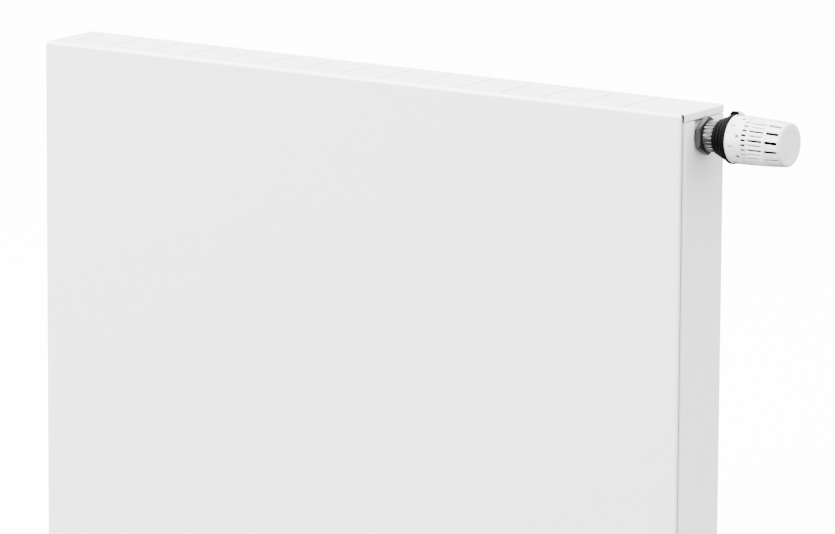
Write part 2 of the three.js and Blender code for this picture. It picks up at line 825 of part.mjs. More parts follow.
function hexagon([start, end], flats) {
  const corners = circle([0, 0], flats / Math.sqrt(3), 6).map(([y, z]) => [z, y]);
  return runAlongX(corners.reverse(), [start, end]);
}

function valveBody() {
  const barrel = turned([
    [valve.shankIn, 0],
    [valve.shankIn, valve.shank],
    [-valveTee.right + gap, valve.shank],
    [-valveTee.right + gap, valve.neckIn],
    [valve.hexStart, valve.neckIn],
    [valve.hexEnd, valve.thread],
    [valve.threadEnd, valve.thread],
    [valve.threadEnd, 0],
  ], valve.sides);
  const hex = hexagon([valve.hexStart, valve.hexEnd], valve.hexFlats);
  const pinX = [valve.shankIn - past, valve.threadEnd + past];
  const pinBore = rodX([0, 0], valve.pinBore, pinX, tee.sides);
  const springX = [valve.shankIn - past, valve.springBoreEnd];
  const springBore = rodX([0, 0], valve.springBore, springX, tee.sides);
  return without(barrel.add(hex), [pinBore, springBore]);
}

function valveSpindle() {
  const discEnd = -tee.fromEnd - valveTee.seatFromAxis + disc.lift + disc.thick;
  return turned([
    [discEnd + gap, 0],
    [discEnd + gap, spindle.radius],
    [spindle.collarStart, spindle.radius],
    [spindle.collarStart, spindle.collar],
    [spindle.collarEnd, spindle.collar],
    [spindle.collarEnd, spindle.radius],
    [spindle.out, spindle.radius],
    [spindle.out, 0],
  ], tee.sides);
}

function valveDisc() {
  const start = -tee.fromEnd - valveTee.seatFromAxis + disc.lift;
  return rodX([0, 0], disc.radius, [start, start + disc.thick], tee.sides);
}

function presetRing() {
  const whole = ring([preset.start, preset.end], preset.inner, preset.outer, valve.sides);
  const half = preset.notch / 2;
  const middle = (preset.inner + preset.outer) / 2;
  const x = [(preset.start + preset.end) / 2, preset.end + past];
  const notch = block(x, [-half, half], [middle, preset.outer + past]);
  return whole.subtract(notch);
}

function unionNut() {
  const root = nut.outer - nut.groove;
  const points = [];
  for (let rib = 0; rib < nut.ribs; rib += 1) {
    for (const [share, radius] of [[0, nut.outer], [0.5, nut.outer], [0.6, root], [0.9, root]]) {
      const angle = (2 * Math.PI * (rib + share)) / nut.ribs;
      points.push([radius * Math.cos(angle), radius * Math.sin(angle)]);
    }
  }
  const outside = runAlongX(points, [nut.start, nut.end]);
  const bore = rodX([0, 0], nut.bore, [0, nut.flangeStart], valve.sides);
  const flangeBore = rodX([0, 0], nut.flangeBore, [nut.start, nut.end + past], valve.sides);
  return without(outside, [bore, flangeBore]);
}

// ---- thermostatic head ----

// The stepped cone's outline from its floor to its rim, and back along its inside.
function coneOutline() {
  const outside = [];
  const { count, width, pitch, rise, belowRim, groove } = ridge;
  const firstR = base.rim - belowRim - (count - 1) * rise;
  for (let index = 0; index < count; index += 1) {
    const start = base.floor + index * pitch;
    const radius = firstR + index * rise;
    outside.push([start, radius - groove], [start + groove / 2, radius]);
    outside.push([start + width, radius + groove], [start + width, radius + groove / 2]);
  }
  const inside = [
    [base.rimEnd, base.rimBore],
    [base.rimStart + gap, base.rimBore],
    [base.rimStart - base.wall, base.rimBore - 2 * base.wall],
    [base.floorEnd, firstR - groove - base.wall],
  ];
  return [...outside, [base.rimStart, base.rim], [base.rimEnd, base.rim], ...inside];
}

function headBase() {
  const body = turned([
    [base.lipStart, base.hubBore],
    [base.lipStart, base.lip],
    [base.lipEnd, base.lip],
    [base.lipEnd, base.hub],
    [base.floor, base.hub],
    ...coneOutline(),
    [base.floorEnd, base.tube],
    [base.tubeEnd, base.tube],
    [base.tubeEnd, base.tubeBore],
    [base.floorEnd, base.tubeBore],
    [base.floorEnd, base.pinHole],
    [base.floor, base.pinHole],
    [base.floor, base.hubBore],
  ], base.sides);
  const { start, end, top, tipDrop, slope } = pointer;
  const wedge = [
    [start, base.rimBore - pointer.rootStart],
    ...pointer.root.map(([out, radius]) => [base.rimStart + out, base.rimBore + radius]),
    [end, base.rimBore + gap],
    [end, top - tipDrop],
    [end - slope, top],
    [start + slope, top],
    [start, top - tipDrop - slope],
  ];
  const blade = runAlongY(wedge, [-pointer.halfWidth, pointer.halfWidth]);
  return body.add(blade);
}

// Cuts through the handle's wall, spread evenly round it.
function radialCuts({ start, end, count, width }, [inner, outer], turn) {
  const cuts = [];
  for (let index = 0; index < count; index += 1) {
    const cut = block([start, end], [-width / 2, width / 2], [inner, outer]);
    cuts.push(cut.rotate([(360 * index) / count + turn, 0, 0]));
  }
  return cuts;
}

function handleShell() {
  const shell = turned([
    [handle.start, handle.startR],
    [handle.scaleEnd, handle.scaleR],
    [handle.ribEnd, handle.ribR],
    [handle.end, handle.endR],
    [handle.end, handle.endR - handle.wall],
    [handle.ribEnd, handle.ribR - handle.wall],
    [handle.scaleEnd, handle.scaleR - handle.wall],
    [handle.start, handle.startR - handle.wall],
  ], base.sides);
  const outer = handle.startR + past;
  const through = [handle.endR - 2 * handle.wall, outer];
  return without(shell, [
    ...radialCuts(notchRing, through, cutTurn),
    ...radialCuts(slotRing, through, cutTurn),
    ...radialCuts(windowRing, through, cutTurn),
  ]);
}

function endCap() {
  return turned([
    [handle.end + gap, 0],
    [handle.end + gap, handle.endR],
    [cap.shoulderEnd, cap.shoulder],
    [cap.end - cap.shoulderFromEnd / 3, cap.shoulder - (cap.shoulder - cap.edge) / 3],
    [cap.end, cap.edge],
    [cap.end, cap.recess],
    [cap.end - cap.recessDepth, cap.recess],
    [cap.end - cap.recessDepth, 0],
  ], base.sides);
}

function endDisc() {
  return rodX([0, 0], capDisc.radius, [cap.end - cap.recessDepth + gap, cap.end], valve.sides);
}

function sensorCapsule() {
  return turned([
    [capsule.start, 0],
    [capsule.start, capsule.radius - capsule.edge],
    [capsule.start + capsule.edge, capsule.radius],
    [capsule.end - capsule.edge, capsule.radius],
    [capsule.end, capsule.radius - capsule.edge],
    [capsule.end, 0],
  ], valve.sides);
}

function sensorPiston() {
  return rodX([0, 0], piston.radius, [spindle.out + gap, capsule.start - gap], tee.sides);
}

function sensorCarrier() {
  const wallStart = capsule.end + gap;
  const wallEnd = wallStart + carrier.wall;
  return turned([
    [wallStart, 0],
    [wallStart, carrier.inner],
    [carrier.start, carrier.inner],
    [carrier.start, carrier.outer],
    [wallStart, carrier.outer],
    [wallStart, carrier.flange],
    [wallEnd, carrier.flange],
    [wallEnd, 0],
  ], valve.sides);
}

function limitClipBody(angle) {
  const x = [limitClip.start, limitClip.start + limitClip.length];
  const y = [-limitClip.width / 2, limitClip.width / 2];
  return block(x, y, [limitClip.inner, limitClip.outer]).rotate([angle, 0, 0]);
}

// ---- assembly ----

piece(model, "front_fascia", frontFascia(), enamel);
const padChannels = [...padStrip.channels, ...padStrip.channels.map(mirrorChannel).reverse()];
padChannels.forEach((channel, index) => {
  piece(model, `fascia_pad_${index + 1}`, fasciaPad(channel), foamTape);
});
waterPanels();
convectorSections();
piece(model, "top_grille", topGrille(), enamel);
clip.places.forEach((place, index) => {
  piece(model, `grille_clip_${index + 1}`, grilleClip(place), springSteel);
});
piece(model, "side_cover_left", leftCover(), enamel);
piece(model, "side_cover_right", rightCover(), enamel);
wallLugs();

piece(model, "tee_top_left", leftTee(axisZ), enamelInside);
piece(model, "tee_bottom_left", leftTee(bottomAxisZ), enamelInside);
piece(model, "tee_bottom_right", returnTee(), enamelInside);
piece(model, "valve_tee", valveTeeBody(), enamelInside);
piece(model, "connection_bracket", connectionBracket(), zincSteel);
const supplyTop = nipple.top - socket.flange - gap;
piece(model, "return_nipple", connectionNipple(rightTeeX, nipple.top), nickel);
piece(model, "supply_nipple", connectionNipple(supplyX, supplyTop), nickel);
piece(model, "riser_socket", riserSocket(), nickel);
piece(model, "riser_pipe", riserPipe(), enamelInside);
piece(model, "blind_plug", plugBody(bottomAxisZ), nickel);
piece(model, "blind_plug_seal", plugRing(bottomAxisZ), rubber);
piece(model, "vent_plug", ventPlug(), nickel);
piece(model, "vent_plug_seal", plugRing(axisZ), rubber);
piece(model, "vent_screw", ventScrew(), brass);
piece(model, "vent_spout", ventSpout(), whitePlastic);

piece(onValveAxis, "valve_body", valveBody(), castGrey);
piece(onValveAxis, "valve_body_seal", ring([gap, seal.end], seal.inner, seal.outer, valve.sides), rubber);
piece(onValveAxis, "valve_spindle", valveSpindle(), nickel);
piece(onValveAxis, "valve_disc", valveDisc(), rubber);
const retainerX = [valve.shankIn, valve.shankIn + retainer.thick];
piece(onValveAxis, "spring_retainer", ring(retainerX, retainer.inner, retainer.outer, tee.sides), brass);
const returnSpringX = [retainerX[1], spindle.collarStart];
piece(onValveAxis, "return_spring", spring(returnSpring, returnSpringX), springSteel);
piece(onValveAxis, "preset_ring", presetRing(), redPlastic);
piece(onValveAxis, "union_nut", unionNut(), nickel);

piece(onValveAxis, "head_base", headBase(), blackPlastic);
piece(onValveAxis, "handle", handleShell(), whitePlastic);
piece(onValveAxis, "end_cap", endCap(), whitePlastic);
piece(onValveAxis, "end_disc", endDisc(), whitePlastic);
piece(onValveAxis, "sensor_carrier", sensorCarrier(), whitePlastic);
piece(onValveAxis, "sensor_capsule", sensorCapsule(), brass);
piece(onValveAxis, "sensor_piston", sensorPiston(), nickel);
const overtravelX = [base.floorEnd, capsule.start];
piece(onValveAxis, "overtravel_spring", spring(overtravelSpring, overtravelX), springSteel);
limitClip.angles.forEach((angle, index) => {
  piece(onValveAxis, `limit_clip_${index + 1}`, limitClipBody(angle), redPlastic);
});

export default model;
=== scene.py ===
import json
import math

import bmesh
import bpy
from mathutils import Matrix, Vector


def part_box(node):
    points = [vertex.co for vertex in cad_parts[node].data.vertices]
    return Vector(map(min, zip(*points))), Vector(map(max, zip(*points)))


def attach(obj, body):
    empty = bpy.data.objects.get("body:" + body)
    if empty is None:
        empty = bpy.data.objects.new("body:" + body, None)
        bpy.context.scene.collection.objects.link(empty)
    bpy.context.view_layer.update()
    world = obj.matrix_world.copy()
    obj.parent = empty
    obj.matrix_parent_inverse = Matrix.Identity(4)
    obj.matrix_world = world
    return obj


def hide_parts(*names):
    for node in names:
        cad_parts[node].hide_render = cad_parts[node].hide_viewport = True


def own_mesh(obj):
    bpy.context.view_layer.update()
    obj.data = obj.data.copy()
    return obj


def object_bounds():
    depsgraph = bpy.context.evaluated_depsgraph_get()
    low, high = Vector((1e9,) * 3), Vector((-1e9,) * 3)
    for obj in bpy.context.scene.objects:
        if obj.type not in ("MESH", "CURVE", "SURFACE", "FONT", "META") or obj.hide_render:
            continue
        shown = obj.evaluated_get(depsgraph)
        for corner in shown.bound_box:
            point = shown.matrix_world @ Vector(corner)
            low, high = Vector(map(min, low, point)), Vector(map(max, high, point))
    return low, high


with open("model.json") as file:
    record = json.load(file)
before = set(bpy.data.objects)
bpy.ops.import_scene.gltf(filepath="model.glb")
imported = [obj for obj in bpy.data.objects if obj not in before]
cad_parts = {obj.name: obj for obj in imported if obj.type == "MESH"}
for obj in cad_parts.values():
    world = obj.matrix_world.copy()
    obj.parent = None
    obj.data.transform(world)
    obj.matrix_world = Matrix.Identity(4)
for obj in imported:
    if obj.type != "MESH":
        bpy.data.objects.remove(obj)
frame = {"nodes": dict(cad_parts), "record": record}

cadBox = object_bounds()
mm = 0.001
tiny = 1e-6
nodes = frame["nodes"]

# places that everything else is measured from, in the frame's metres
fasciaLow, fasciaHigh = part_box("front_fascia")
grilleLow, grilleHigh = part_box("top_grille")
handleLow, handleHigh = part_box("handle")
corner = Vector((fasciaLow.x, fasciaLow.y, fasciaLow.z))
sideX = fasciaHigh.x
axisY = (handleLow.y + handleHigh.y) / 2
axisZ = (handleLow.z + handleHigh.z) / 2

# the casing's size and the valve's axis, in millimetres from the casing's corner
width = (fasciaHigh.x - fasciaLow.x) / mm
height = (fasciaHigh.z - fasciaLow.z) / mm
depth = (grilleHigh.y - fasciaLow.y) / mm
axisV = (axisY - corner.y) / mm
axisW = (axisZ - corner.z) / mm


def place(x, y, z):
    # millimetres from the casing's front, left, bottom corner
    return corner + Vector((x, y, z)) * mm


def onAxis(out, radius, turn):
    # out from the casing's side, turn in degrees from the top towards the front
    a = math.radians(turn)
    return Vector((
        sideX + out * mm,
        axisY - radius * math.sin(a) * mm,
        axisZ + radius * math.cos(a) * mm,
    ))


def nodeBox(node):
    # a node's lowest and highest corners, in millimetres from the casing's corner
    low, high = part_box(node)
    return (low - corner) / mm, (high - corner) / mm


# grain and height are in millimetres; drift and swing are how far the colour and the roughness wander
finishes = {
    "enamel_white": dict(
        colour=(0.86, 0.865, 0.875), rough=0.34, coat=0.6,
        grain=1.6, height=0.02, drift=0.006, swing=0.04,
    ),
    "enamel_inside": dict(
        colour=(0.78, 0.785, 0.79), rough=0.5,
        grain=1.2, height=0.04, drift=0.02, swing=0.08,
    ),
    "foam_tape": dict(
        colour=(0.68, 0.68, 0.65), rough=0.95,
        grain=0.7, height=0.5, drift=0.05, swing=0.04,
    ),
    "zinc_steel": dict(
        colour=(0.58, 0.6, 0.62), rough=0.38, metal=1,
        grain=4, height=0.05, drift=0.12, swing=0.15,
    ),
    "spring_steel": dict(
        colour=(0.5, 0.51, 0.53), rough=0.28, metal=1,
        grain=0.5, height=0.04, drift=0.05, swing=0.1,
    ),
    # the nickel plate's colour is kept far darker than bright nickel: painted shade and painted dark reflection
    # for the nut sitting in the shaded notch
    "nickel_plate": dict(
        colour=(0.095, 0.093, 0.088), rough=0.32, metal=1,
        grain=0.6, height=0.04, drift=0.06, swing=0.1,
    ),
    # the valve body's grey is darkened almost to black: painted shade for the hexagon in the shaded notch, over
    # its own grey metal
    "valve_grey": dict(
        colour=(0.07, 0.069, 0.066), rough=0.42, metal=0.8,
        grain=0.5, height=0.12, drift=0.1, swing=0.12,
    ),
    "brass": dict(
        colour=(0.72, 0.52, 0.24), rough=0.3, metal=1,
        grain=0.5, height=0.05, drift=0.08, swing=0.1,
    ),
    "sensor_can": dict(
        colour=(0.2, 0.185, 0.16), rough=0.4, metal=0.8, coat=0.3,
        grain=0.8, height=0.04, drift=0.06, swing=0.1,
    ),
    "rubber": dict(
        colour=(0.02, 0.02, 0.02), rough=0.75,
        grain=0.4, height=0.15, drift=0.2, swing=0.1,
    ),
    "head_black": dict(
        colour=(0.0014, 0.0014, 0.0016), rough=0.55, shine=0.03,
        grain=0.35, height=0.06, drift=0.25, swing=0.08,
    ),
    "head_white": dict(
        colour=(0.74, 0.743, 0.748), rough=0.3, coat=0.15,
        grain=0.45, height=0.03, drift=0.008, swing=0.05,
    ),
    "red_plastic": dict(
        colour=(0.5, 0.04, 0.03), rough=0.42,
        grain=0.4, height=0.05, drift=0.08, swing=0.08,
    ),
    "print_grey": dict(
        colour=(0.06, 0.063, 0.066), rough=0.5,
        grain=0.3, height=0.02, drift=0.08, swing=0.05,
    ),
    "tip_grey": dict(
        colour=(0.36, 0.365, 0.37), rough=0.4,
        grain=0.4, height=0.04, drift=0.04, swing=0.05,
    ),
    "studio_floor": dict(
        colour=(0.93, 0.93, 0.93), rough=0.8,
        grain=30, height=0, drift=0.004, swing=0.02,
    ),
}
surface = dict(
    coatRough=0.14, cloudTimes=22, cloudDetail=3, fineDetail=2,
    ramp=(0.3, 0.7), smoothest=0.02, bump=0.5,
)


def makeFinish(name, colour, rough, grain, height, drift, swing, metal=0, coat=0, shine=0.5):
    material = bpy.data.materials.new(name)
    material.use_nodes = True
    tree = material.node_tree
    shader = tree.nodes["Principled BSDF"]
    shader.inputs["Metallic"].default_value = metal
    shader.inputs["Coat Weight"].default_value = coat
    shader.inputs["Coat Roughness"].default_value = surface["coatRough"]
    shader.inputs["Specular IOR Level"].default_value = shine
    where = tree.nodes.new("ShaderNodeTexCoord")

    def noise(size, detail):
        node = tree.nodes.new("ShaderNodeTexNoise")
        node.inputs["Scale"].default_value = 1 / (size * mm)
        node.inputs["Detail"].default_value = detail
        tree.links.new(where.outputs["Object"], node.inputs["Vector"])
        return node.outputs["Fac"]

    cloud = noise(grain * surface["cloudTimes"], surface["cloudDetail"])
    fine = noise(grain, surface["fineDetail"])
    tone = tree.nodes.new("ShaderNodeValToRGB")
    ends = tone.color_ramp.elements
    ends[0].position, ends[1].position = surface["ramp"]
    ends[0].color = [c * (1 - drift) for c in colour] + [1]
    ends[1].color = [min(1, c * (1 + drift)) for c in colour] + [1]
    tree.links.new(cloud, tone.inputs["Fac"])
    tree.links.new(tone.outputs["Color"], shader.inputs["Base Color"])
    spread = tree.nodes.new("ShaderNodeMapRange")
    spread.inputs["To Min"].default_value = max(surface["smoothest"], rough - swing)
    spread.inputs["To Max"].default_value = min(1, rough + swing)
    tree.links.new(fine, spread.inputs["Value"])
    tree.links.new(spread.outputs["Result"], shader.inputs["Roughness"])
    if height:
        bump = tree.nodes.new("ShaderNodeBump")
        bump.inputs["Strength"].default_value = surface["bump"]
        bump.inputs["Distance"].default_value = height * mm
        tree.links.new(fine, bump.inputs["Height"])
        tree.links.new(bump.outputs["Normal"], shader.inputs["Normal"])
    return material


materials = {name: makeFinish(name, **values) for name, values in finishes.items()}
print("materials ready:", len(materials))


def linked(name, data):
    made = bpy.data.objects.new(name, data)
    bpy.context.collection.objects.link(made)
    return made


def addPiece(name, verts, faces, sharp=None):
    mesh = bpy.data.meshes.new(name)
    mesh.from_pydata([tuple(v) for v in verts], [], faces)
    bm = bmesh.new()
    bm.from_mesh(mesh)
    bmesh.ops.remove_doubles(bm, verts=bm.verts, dist=tiny)
    bmesh.ops.recalc_face_normals(bm, faces=bm.faces)
    bm.to_mesh(mesh)
    bm.free()
    mesh.shade_smooth()
    if sharp:
        mesh.set_sharp_from_angle(angle=math.radians(sharp))
    return linked(name, mesh)


def crease(piece, angle):
    # edges sharper than the angle stay hard
    piece.data.set_sharp_from_angle(angle=math.radians(angle))


def settle(piece):
    # the piece's modifiers become its mesh
    graph = bpy.context.evaluated_depsgraph_get()
    mesh = bpy.data.meshes.new_from_object(piece.evaluated_get(graph))
    piece.modifiers.clear()
    piece.data = mesh


def carve(piece, tools, operation="DIFFERENCE"):
    for tool in tools:
        cut = piece.modifiers.new("cut", "BOOLEAN")
        cut.object = tool
        cut.operation = operation
        cut.solver = "MANIFOLD"
    settle(piece)
    for tool in tools:
        bpy.data.objects.remove(tool)
    piece.data.shade_smooth()


def soften(piece, edge, segments=2, angle=50):
    # small rounds on every hard edge, flat faces kept flat
    bevel = piece.modifiers.new("edges", "BEVEL")
    bevel.width = edge * mm
    bevel.segments = segments
    bevel.limit_method = "ANGLE"
    bevel.angle_limit = math.radians(angle)
    bevel.use_clamp_overlap = True
    flat = piece.modifiers.new("flats", "WEIGHTED_NORMAL")
    flat.keep_sharp = True
    settle(piece)


def joinPieces(name, parts):
    bm = bmesh.new()
    for part in parts:
        bm.from_mesh(part.data)
        bpy.data.objects.remove(part)
    mesh = bpy.data.meshes.new(name)
    bm.to_mesh(mesh)
    bm.free()
    mesh.shade_smooth()
    return linked(name, mesh)


def finishPiece(piece, slot, body, replaced=(), finish=None):
    piece.data.materials.clear()
    piece.data.materials.append(materials[finish or slot])
    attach(piece, body)
    if replaced:
        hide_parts(*replaced)


def prism(name, outline, axis, span):
    # a closed outline run along one axis; the outline's two numbers are the other two axes in order
    low, high = span
    count = len(outline)

    def at(u, v, run):
        return {"x": place(run, u, v), "y": place(u, run, v), "z": place(u, v, run)}[axis]

    verts = [at(u, v, low) for u, v in outline] + [at(u, v, high) for u, v in outline]
    faces = [tuple(range(count)), tuple(range(2 * count - 1, count - 1, -1))]
    faces += [(i, (i + 1) % count, count + (i + 1) % count, count + i) for i in range(count)]
    return addPiece(name, verts, faces)


def revolved(name, profile, sides, shape=None):
    # a profile of (out, radius) points turned about the valve's axis; shape(turn, out, radius) adds to the radius
    rings, verts, faces = [], [], []
    for out, radius in profile:
        if radius == 0:
            verts.append(onAxis(out, 0, 0))
            rings.append([len(verts) - 1] * sides)
            continue
        ring = []
        for step in range(sides):
            turn = 360 * step / sides
            grown = radius + (shape(turn, out, radius) if shape else 0)
            verts.append(onAxis(out, grown, turn))
            ring.append(len(verts) - 1)
        rings.append(ring)
    hollow = profile[0][1] and profile[-1][1]  # a profile clear of the axis closes on itself
    for k in range(len(rings) if hollow else len(rings) - 1):
        a, b = rings[k], rings[(k + 1) % len(rings)]
        for i in range(sides):
            j = (i + 1) % sides
            face = list(dict.fromkeys((a[i], a[j], b[j], b[i])))  # a triangle at the axis
            if len(face) > 2:
                faces.append(face)
    return addPiece(name, verts, faces)


def turnedPiece(name, profile, sides, slot, body, node, sharp=None, shape=None):
    piece = revolved(name, profile, sides, shape)
    if sharp:
        crease(piece, sharp)
    finishPiece(piece, slot, body, [node])
    return piece


def rounded(points, radius, steps=4):
    # the closed outline with each corner rounded as far as its sides allow
    straight, share = math.radians(172), 0.45
    out = []
    count = len(points)
    for i, p in enumerate(points):
        p, before, after = Vector(p), Vector(points[i - 1]), Vector(points[(i + 1) % count])
        a, b = before - p, after - p
        if p[1] == 0 or a.length < tiny or b.length < tiny or a.angle(b) > straight:
            out.append(tuple(p))
            continue
        turn = a.angle(b)
        reach = min(radius / math.tan(turn / 2), a.length * share, b.length * share)
        start, end = p + a.normalized() * reach, p + b.normalized() * reach
        for k in range(steps + 1):
            t = k / steps
            out.append(tuple(start * (1 - t) ** 2 + p * 2 * t * (1 - t) + end * t**2))
    return out


def ringProfile(start, end, inner, outer, edge):
    # a plain ring or rod, every corner rounded
    return rounded([(start, inner), (start, outer), (end, outer), (end, inner)], edge)


def arcPoints(u, v, radius, start, sweep, steps):
    points = []
    for step in range(steps + 1):
        a = start + sweep * step / steps
        points.append((u + radius * math.cos(a), v + radius * math.sin(a)))
    return points


def sheetSection(path, sheet, bend, steps=6):
    # a strip of sheet bent along a path, every corner rounded
    left, right = [], []

    def add(u, v, nu, nv):
        left.append((u + nu * sheet / 2, v + nv * sheet / 2))
        right.append((u - nu * sheet / 2, v - nv * sheet / 2))

    def heading(a, b):
        return math.atan2(b[1] - a[1], b[0] - a[0])

    for i, (u, v) in enumerate(path):
        if i in (0, len(path) - 1):
            angle = heading(path[0], path[1]) if i == 0 else heading(path[-2], path[-1])
            add(u, v, -math.sin(angle), math.cos(angle))
            continue
        into = heading(path[i - 1], path[i])
        turn = (heading(path[i], path[i + 1]) - into + math.pi) % (2 * math.pi) - math.pi
        side = math.copysign(1, turn)
        back = bend * math.tan(abs(turn) / 2)
        cu = u - back * math.cos(into) - side * bend * math.sin(into)
        cv = v - back * math.sin(into) + side * bend * math.cos(into)
        for k in range(steps + 1):
            angle = into + turn * k / steps
            nu, nv = -math.sin(angle), math.cos(angle)
            add(cu - side * bend * nu, cv - side * bend * nv, nu, nv)
    return right + left[::-1]


def barAt(start, end, wide, inner, outer, turn):
    # a rectangular bar that lies along the valve's axis at one turn
    half = wide / 2
    a = math.radians(turn)
    across = Vector((0, -math.cos(a), -math.sin(a))) * mm
    away = Vector((0, -math.sin(a), math.cos(a))) * mm
    centre = Vector((sideX, axisY, axisZ))
    along = Vector((mm, 0, 0))
    verts = []
    for out in (start, end):
        for side, radius in ((-half, inner), (half, inner), (half, outer), (-half, outer)):
            verts.append(centre + along * out + across * side + away * radius)
    faces = [(0, 1, 2, 3), (7, 6, 5, 4), (0, 4, 5, 1), (1, 5, 6, 2), (2, 6, 7, 3), (3, 7, 4, 0)]
    return addPiece("bar", verts, faces)


def openBox(name, low, high, openFaces, bend, steps, sheet):
    # a folded sheet box, open on the named faces, with every fold rounded
    facing = 0.9
    bm = bmesh.new()
    bmesh.ops.create_cube(bm, size=1)
    size = high - low
    for v in bm.verts:
        v.co = Vector(low[k] + (v.co[k] + 0.5) * size[k] for k in range(3))
    bm.normal_update()
    ways = {"front": Vector((0, -1, 0)), "bottom": Vector((0, 0, -1))}
    gone = [f for f in bm.faces if any(f.normal.dot(ways[side]) > facing for side in openFaces)]
    bmesh.ops.delete(bm, geom=gone, context="FACES")
    folds = [e for e in bm.edges if len(e.link_faces) == 2]
    bmesh.ops.bevel(
        bm, geom=folds, offset=bend * mm, segments=steps, profile=0.5, affect="EDGES",
    )
    mesh = bpy.data.meshes.new(name)
    bm.to_mesh(mesh)
    bm.free()
    piece = linked(name, mesh)
    wall = piece.modifiers.new("wall", "SOLIDIFY")
    wall.thickness = sheet * mm
    wall.offset = -1
    wall.use_even_offset = True
    settle(piece)
    piece.data.shade_smooth()
    return piece


fascia = dict(
    bend=3.5, steps=8, sheet=1.2, curl=0.9, corner=3.5, cornerLeast=0.3,
    tuck=3.4, tuckStart=1.0, tuckCurve=1.2, edge=0.25,
)


def panLoop(inset, y, radius):
    # one loop round the front, its corners rounded; the sides tuck in towards the groove behind them
    back, start = (fasciaHigh.y - fasciaLow.y) / mm, fascia["tuckStart"]
    tuck = fascia["tuck"] * max(0, (y - start) / (back - start)) ** fascia["tuckCurve"]
    points = []
    for cx, cz, first in ((width, height, 0), (0, height, 90), (0, 0, 180), (width, 0, 270)):
        mx = cx - math.copysign(inset + tuck + radius, cx - 1)
        mz = cz - math.copysign(inset + radius, cz - 1)
        for k in range(fascia["steps"] + 1):
            a = math.radians(first + 90 * k / fascia["steps"])
            points.append(place(mx + radius * math.cos(a), y, mz + radius * math.sin(a)))
    return points


def frontSheet():
    # the flat front, the bend round its edges, the side return and the edge curled in behind it
    bend, curl, back = fascia["bend"], fascia["curl"], (fasciaHigh.y - fasciaLow.y) / mm
    quarter = [math.radians(90 * k / fascia["steps"]) for k in range(fascia["steps"] + 1)]
    section = [(bend * (1 - math.sin(a)), bend * (1 - math.cos(a))) for a in quarter]
    section += [(curl * (1 - math.cos(a)), back - curl + curl * math.sin(a)) for a in quarter]
    verts, faces = [], []
    for inset, y in section:
        verts += panLoop(inset, y, max(fascia["cornerLeast"], fascia["corner"] - inset))
    ringSize = 4 * (fascia["steps"] + 1)
    faces.append(tuple(range(ringSize)))
    for row in range(len(section) - 1):
        near, far = row * ringSize, (row + 1) * ringSize
        for k in range(ringSize):
            n = (k + 1) % ringSize
            faces.append((near + k, far + k, far + n, near + n))
    sheet = addPiece("frontSheet", verts, faces)
    wall = sheet.modifiers.new("wall", "SOLIDIFY")
    wall.thickness = fascia["sheet"] * mm
    wall.offset = -1
    settle(sheet)
    return sheet


piece = frontSheet()
soften(piece, fascia["edge"])
finishPiece(piece, "enamel_white", "radiator", ["front_fascia"])

grille = dict(
    bend=1.8, steps=6, sheet=1.0, edge=0.38, slotWide=2.4, slotFront=11.4, slotBack=8.5,
    slotArc=12, pitch=50, first=25, clear=40, cutBelow=4, cutAbove=2,
)
piece = openBox(
    "topGrille", grilleLow, grilleHigh, ["front", "bottom"],
    grille["bend"], grille["steps"], grille["sheet"],
)
slots = []
x = grille["first"]
half = grille["slotWide"] / 2
cutSpan = (height - grille["cutBelow"], height + grille["cutAbove"])
while x < width - grille["clear"]:
    outline = arcPoints(x, grille["slotFront"] + half, half, math.pi, math.pi, grille["slotArc"])
    outline += arcPoints(x, depth - grille["slotBack"] - half, half, 0, math.pi, grille["slotArc"])
    slots.append(prism("slot", outline, "z", cutSpan))
    x += grille["pitch"]
carve(piece, [joinPieces("slots", slots)])
soften(piece, grille["edge"])
finishPiece(piece, "enamel_white", "grille", ["top_grille"])

cover = dict(
    sheet=1.0, front=10.4, frontReturn=4.3, backReturn=12, bend=1.8, bottom=2, top=9.2,
    notch=16, notchArc=32, port=15, portSides=48, cutIn=8, cutOut=3, edge=0.3,
)


def coverSheet(name, right):
    half = cover["sheet"] / 2
    outer = width - half if right else half
    path = [
        (width - cover["frontReturn"] if right else cover["frontReturn"], cover["front"] + half),
        (outer, cover["front"] + half),
        (outer, depth - half),
        (width - cover["backReturn"] if right else cover["backReturn"], depth - half),
    ]
    section = sheetSection(path, cover["sheet"], cover["bend"])
    return prism(name, section, "z", (cover["bottom"], height - cover["top"]))


piece = coverSheet("sideCoverRight", True)
notch = arcPoints(axisV, axisW, cover["notch"], math.pi, math.pi, cover["notchArc"])
notch += [(axisV + cover["notch"], height), (axisV - cover["notch"], height)]
carve(piece, [prism("notch", notch, "x", (width - cover["cutIn"], width + cover["cutOut"]))])
soften(piece, cover["edge"])
finishPiece(piece, "enamel_white", "radiator", ["side_cover_right"])
piece = coverSheet("sideCoverLeft", False)
port = arcPoints(axisV, axisW, cover["port"], 0, 2 * math.pi, cover["portSides"])[:-1]
carve(piece, [prism("port", port, "x", (-cover["cutOut"], cover["cutIn"]))])
soften(piece, cover["edge"])
finishPiece(piece, "enamel_white", "radiator", ["side_cover_left"])

clip = dict(sheet=1, bend=1.2, edge=0.2)
for number in (1, 2, 3):
    low, high = nodeBox(f"grille_clip_{number}")
    half = clip["sheet"] / 2
    path = [
        (low.y + half, low.z),
        (low.y + half, high.z - half),
        (high.y - half, high.z - half),
        (high.y - half, low.z),
    ]
    section = sheetSection(path, clip["sheet"], clip["bend"])
    piece = prism(f"grilleClip{number}", section, "x", (low.x, high.x))
    soften(piece, clip["edge"])
    finishPiece(piece, "spring_steel", "grille", [f"grille_clip_{number}"])

pad = dict(corner=2, edge=0.3)
for number in (1, 2, 3, 4):
    low, high = nodeBox(f"fascia_pad_{number}")
    outline = [(low.x, low.z), (high.x, low.z), (high.x, high.z), (low.x, high.z)]
    piece = prism(f"fasciaPad{number}", rounded(outline, pad["corner"]), "y", (low.y, high.y))
    soften(piece, pad["edge"])
    finishPiece(piece, "foam_tape", "radiator", [f"fascia_pad_{number}"])
print("casing done")

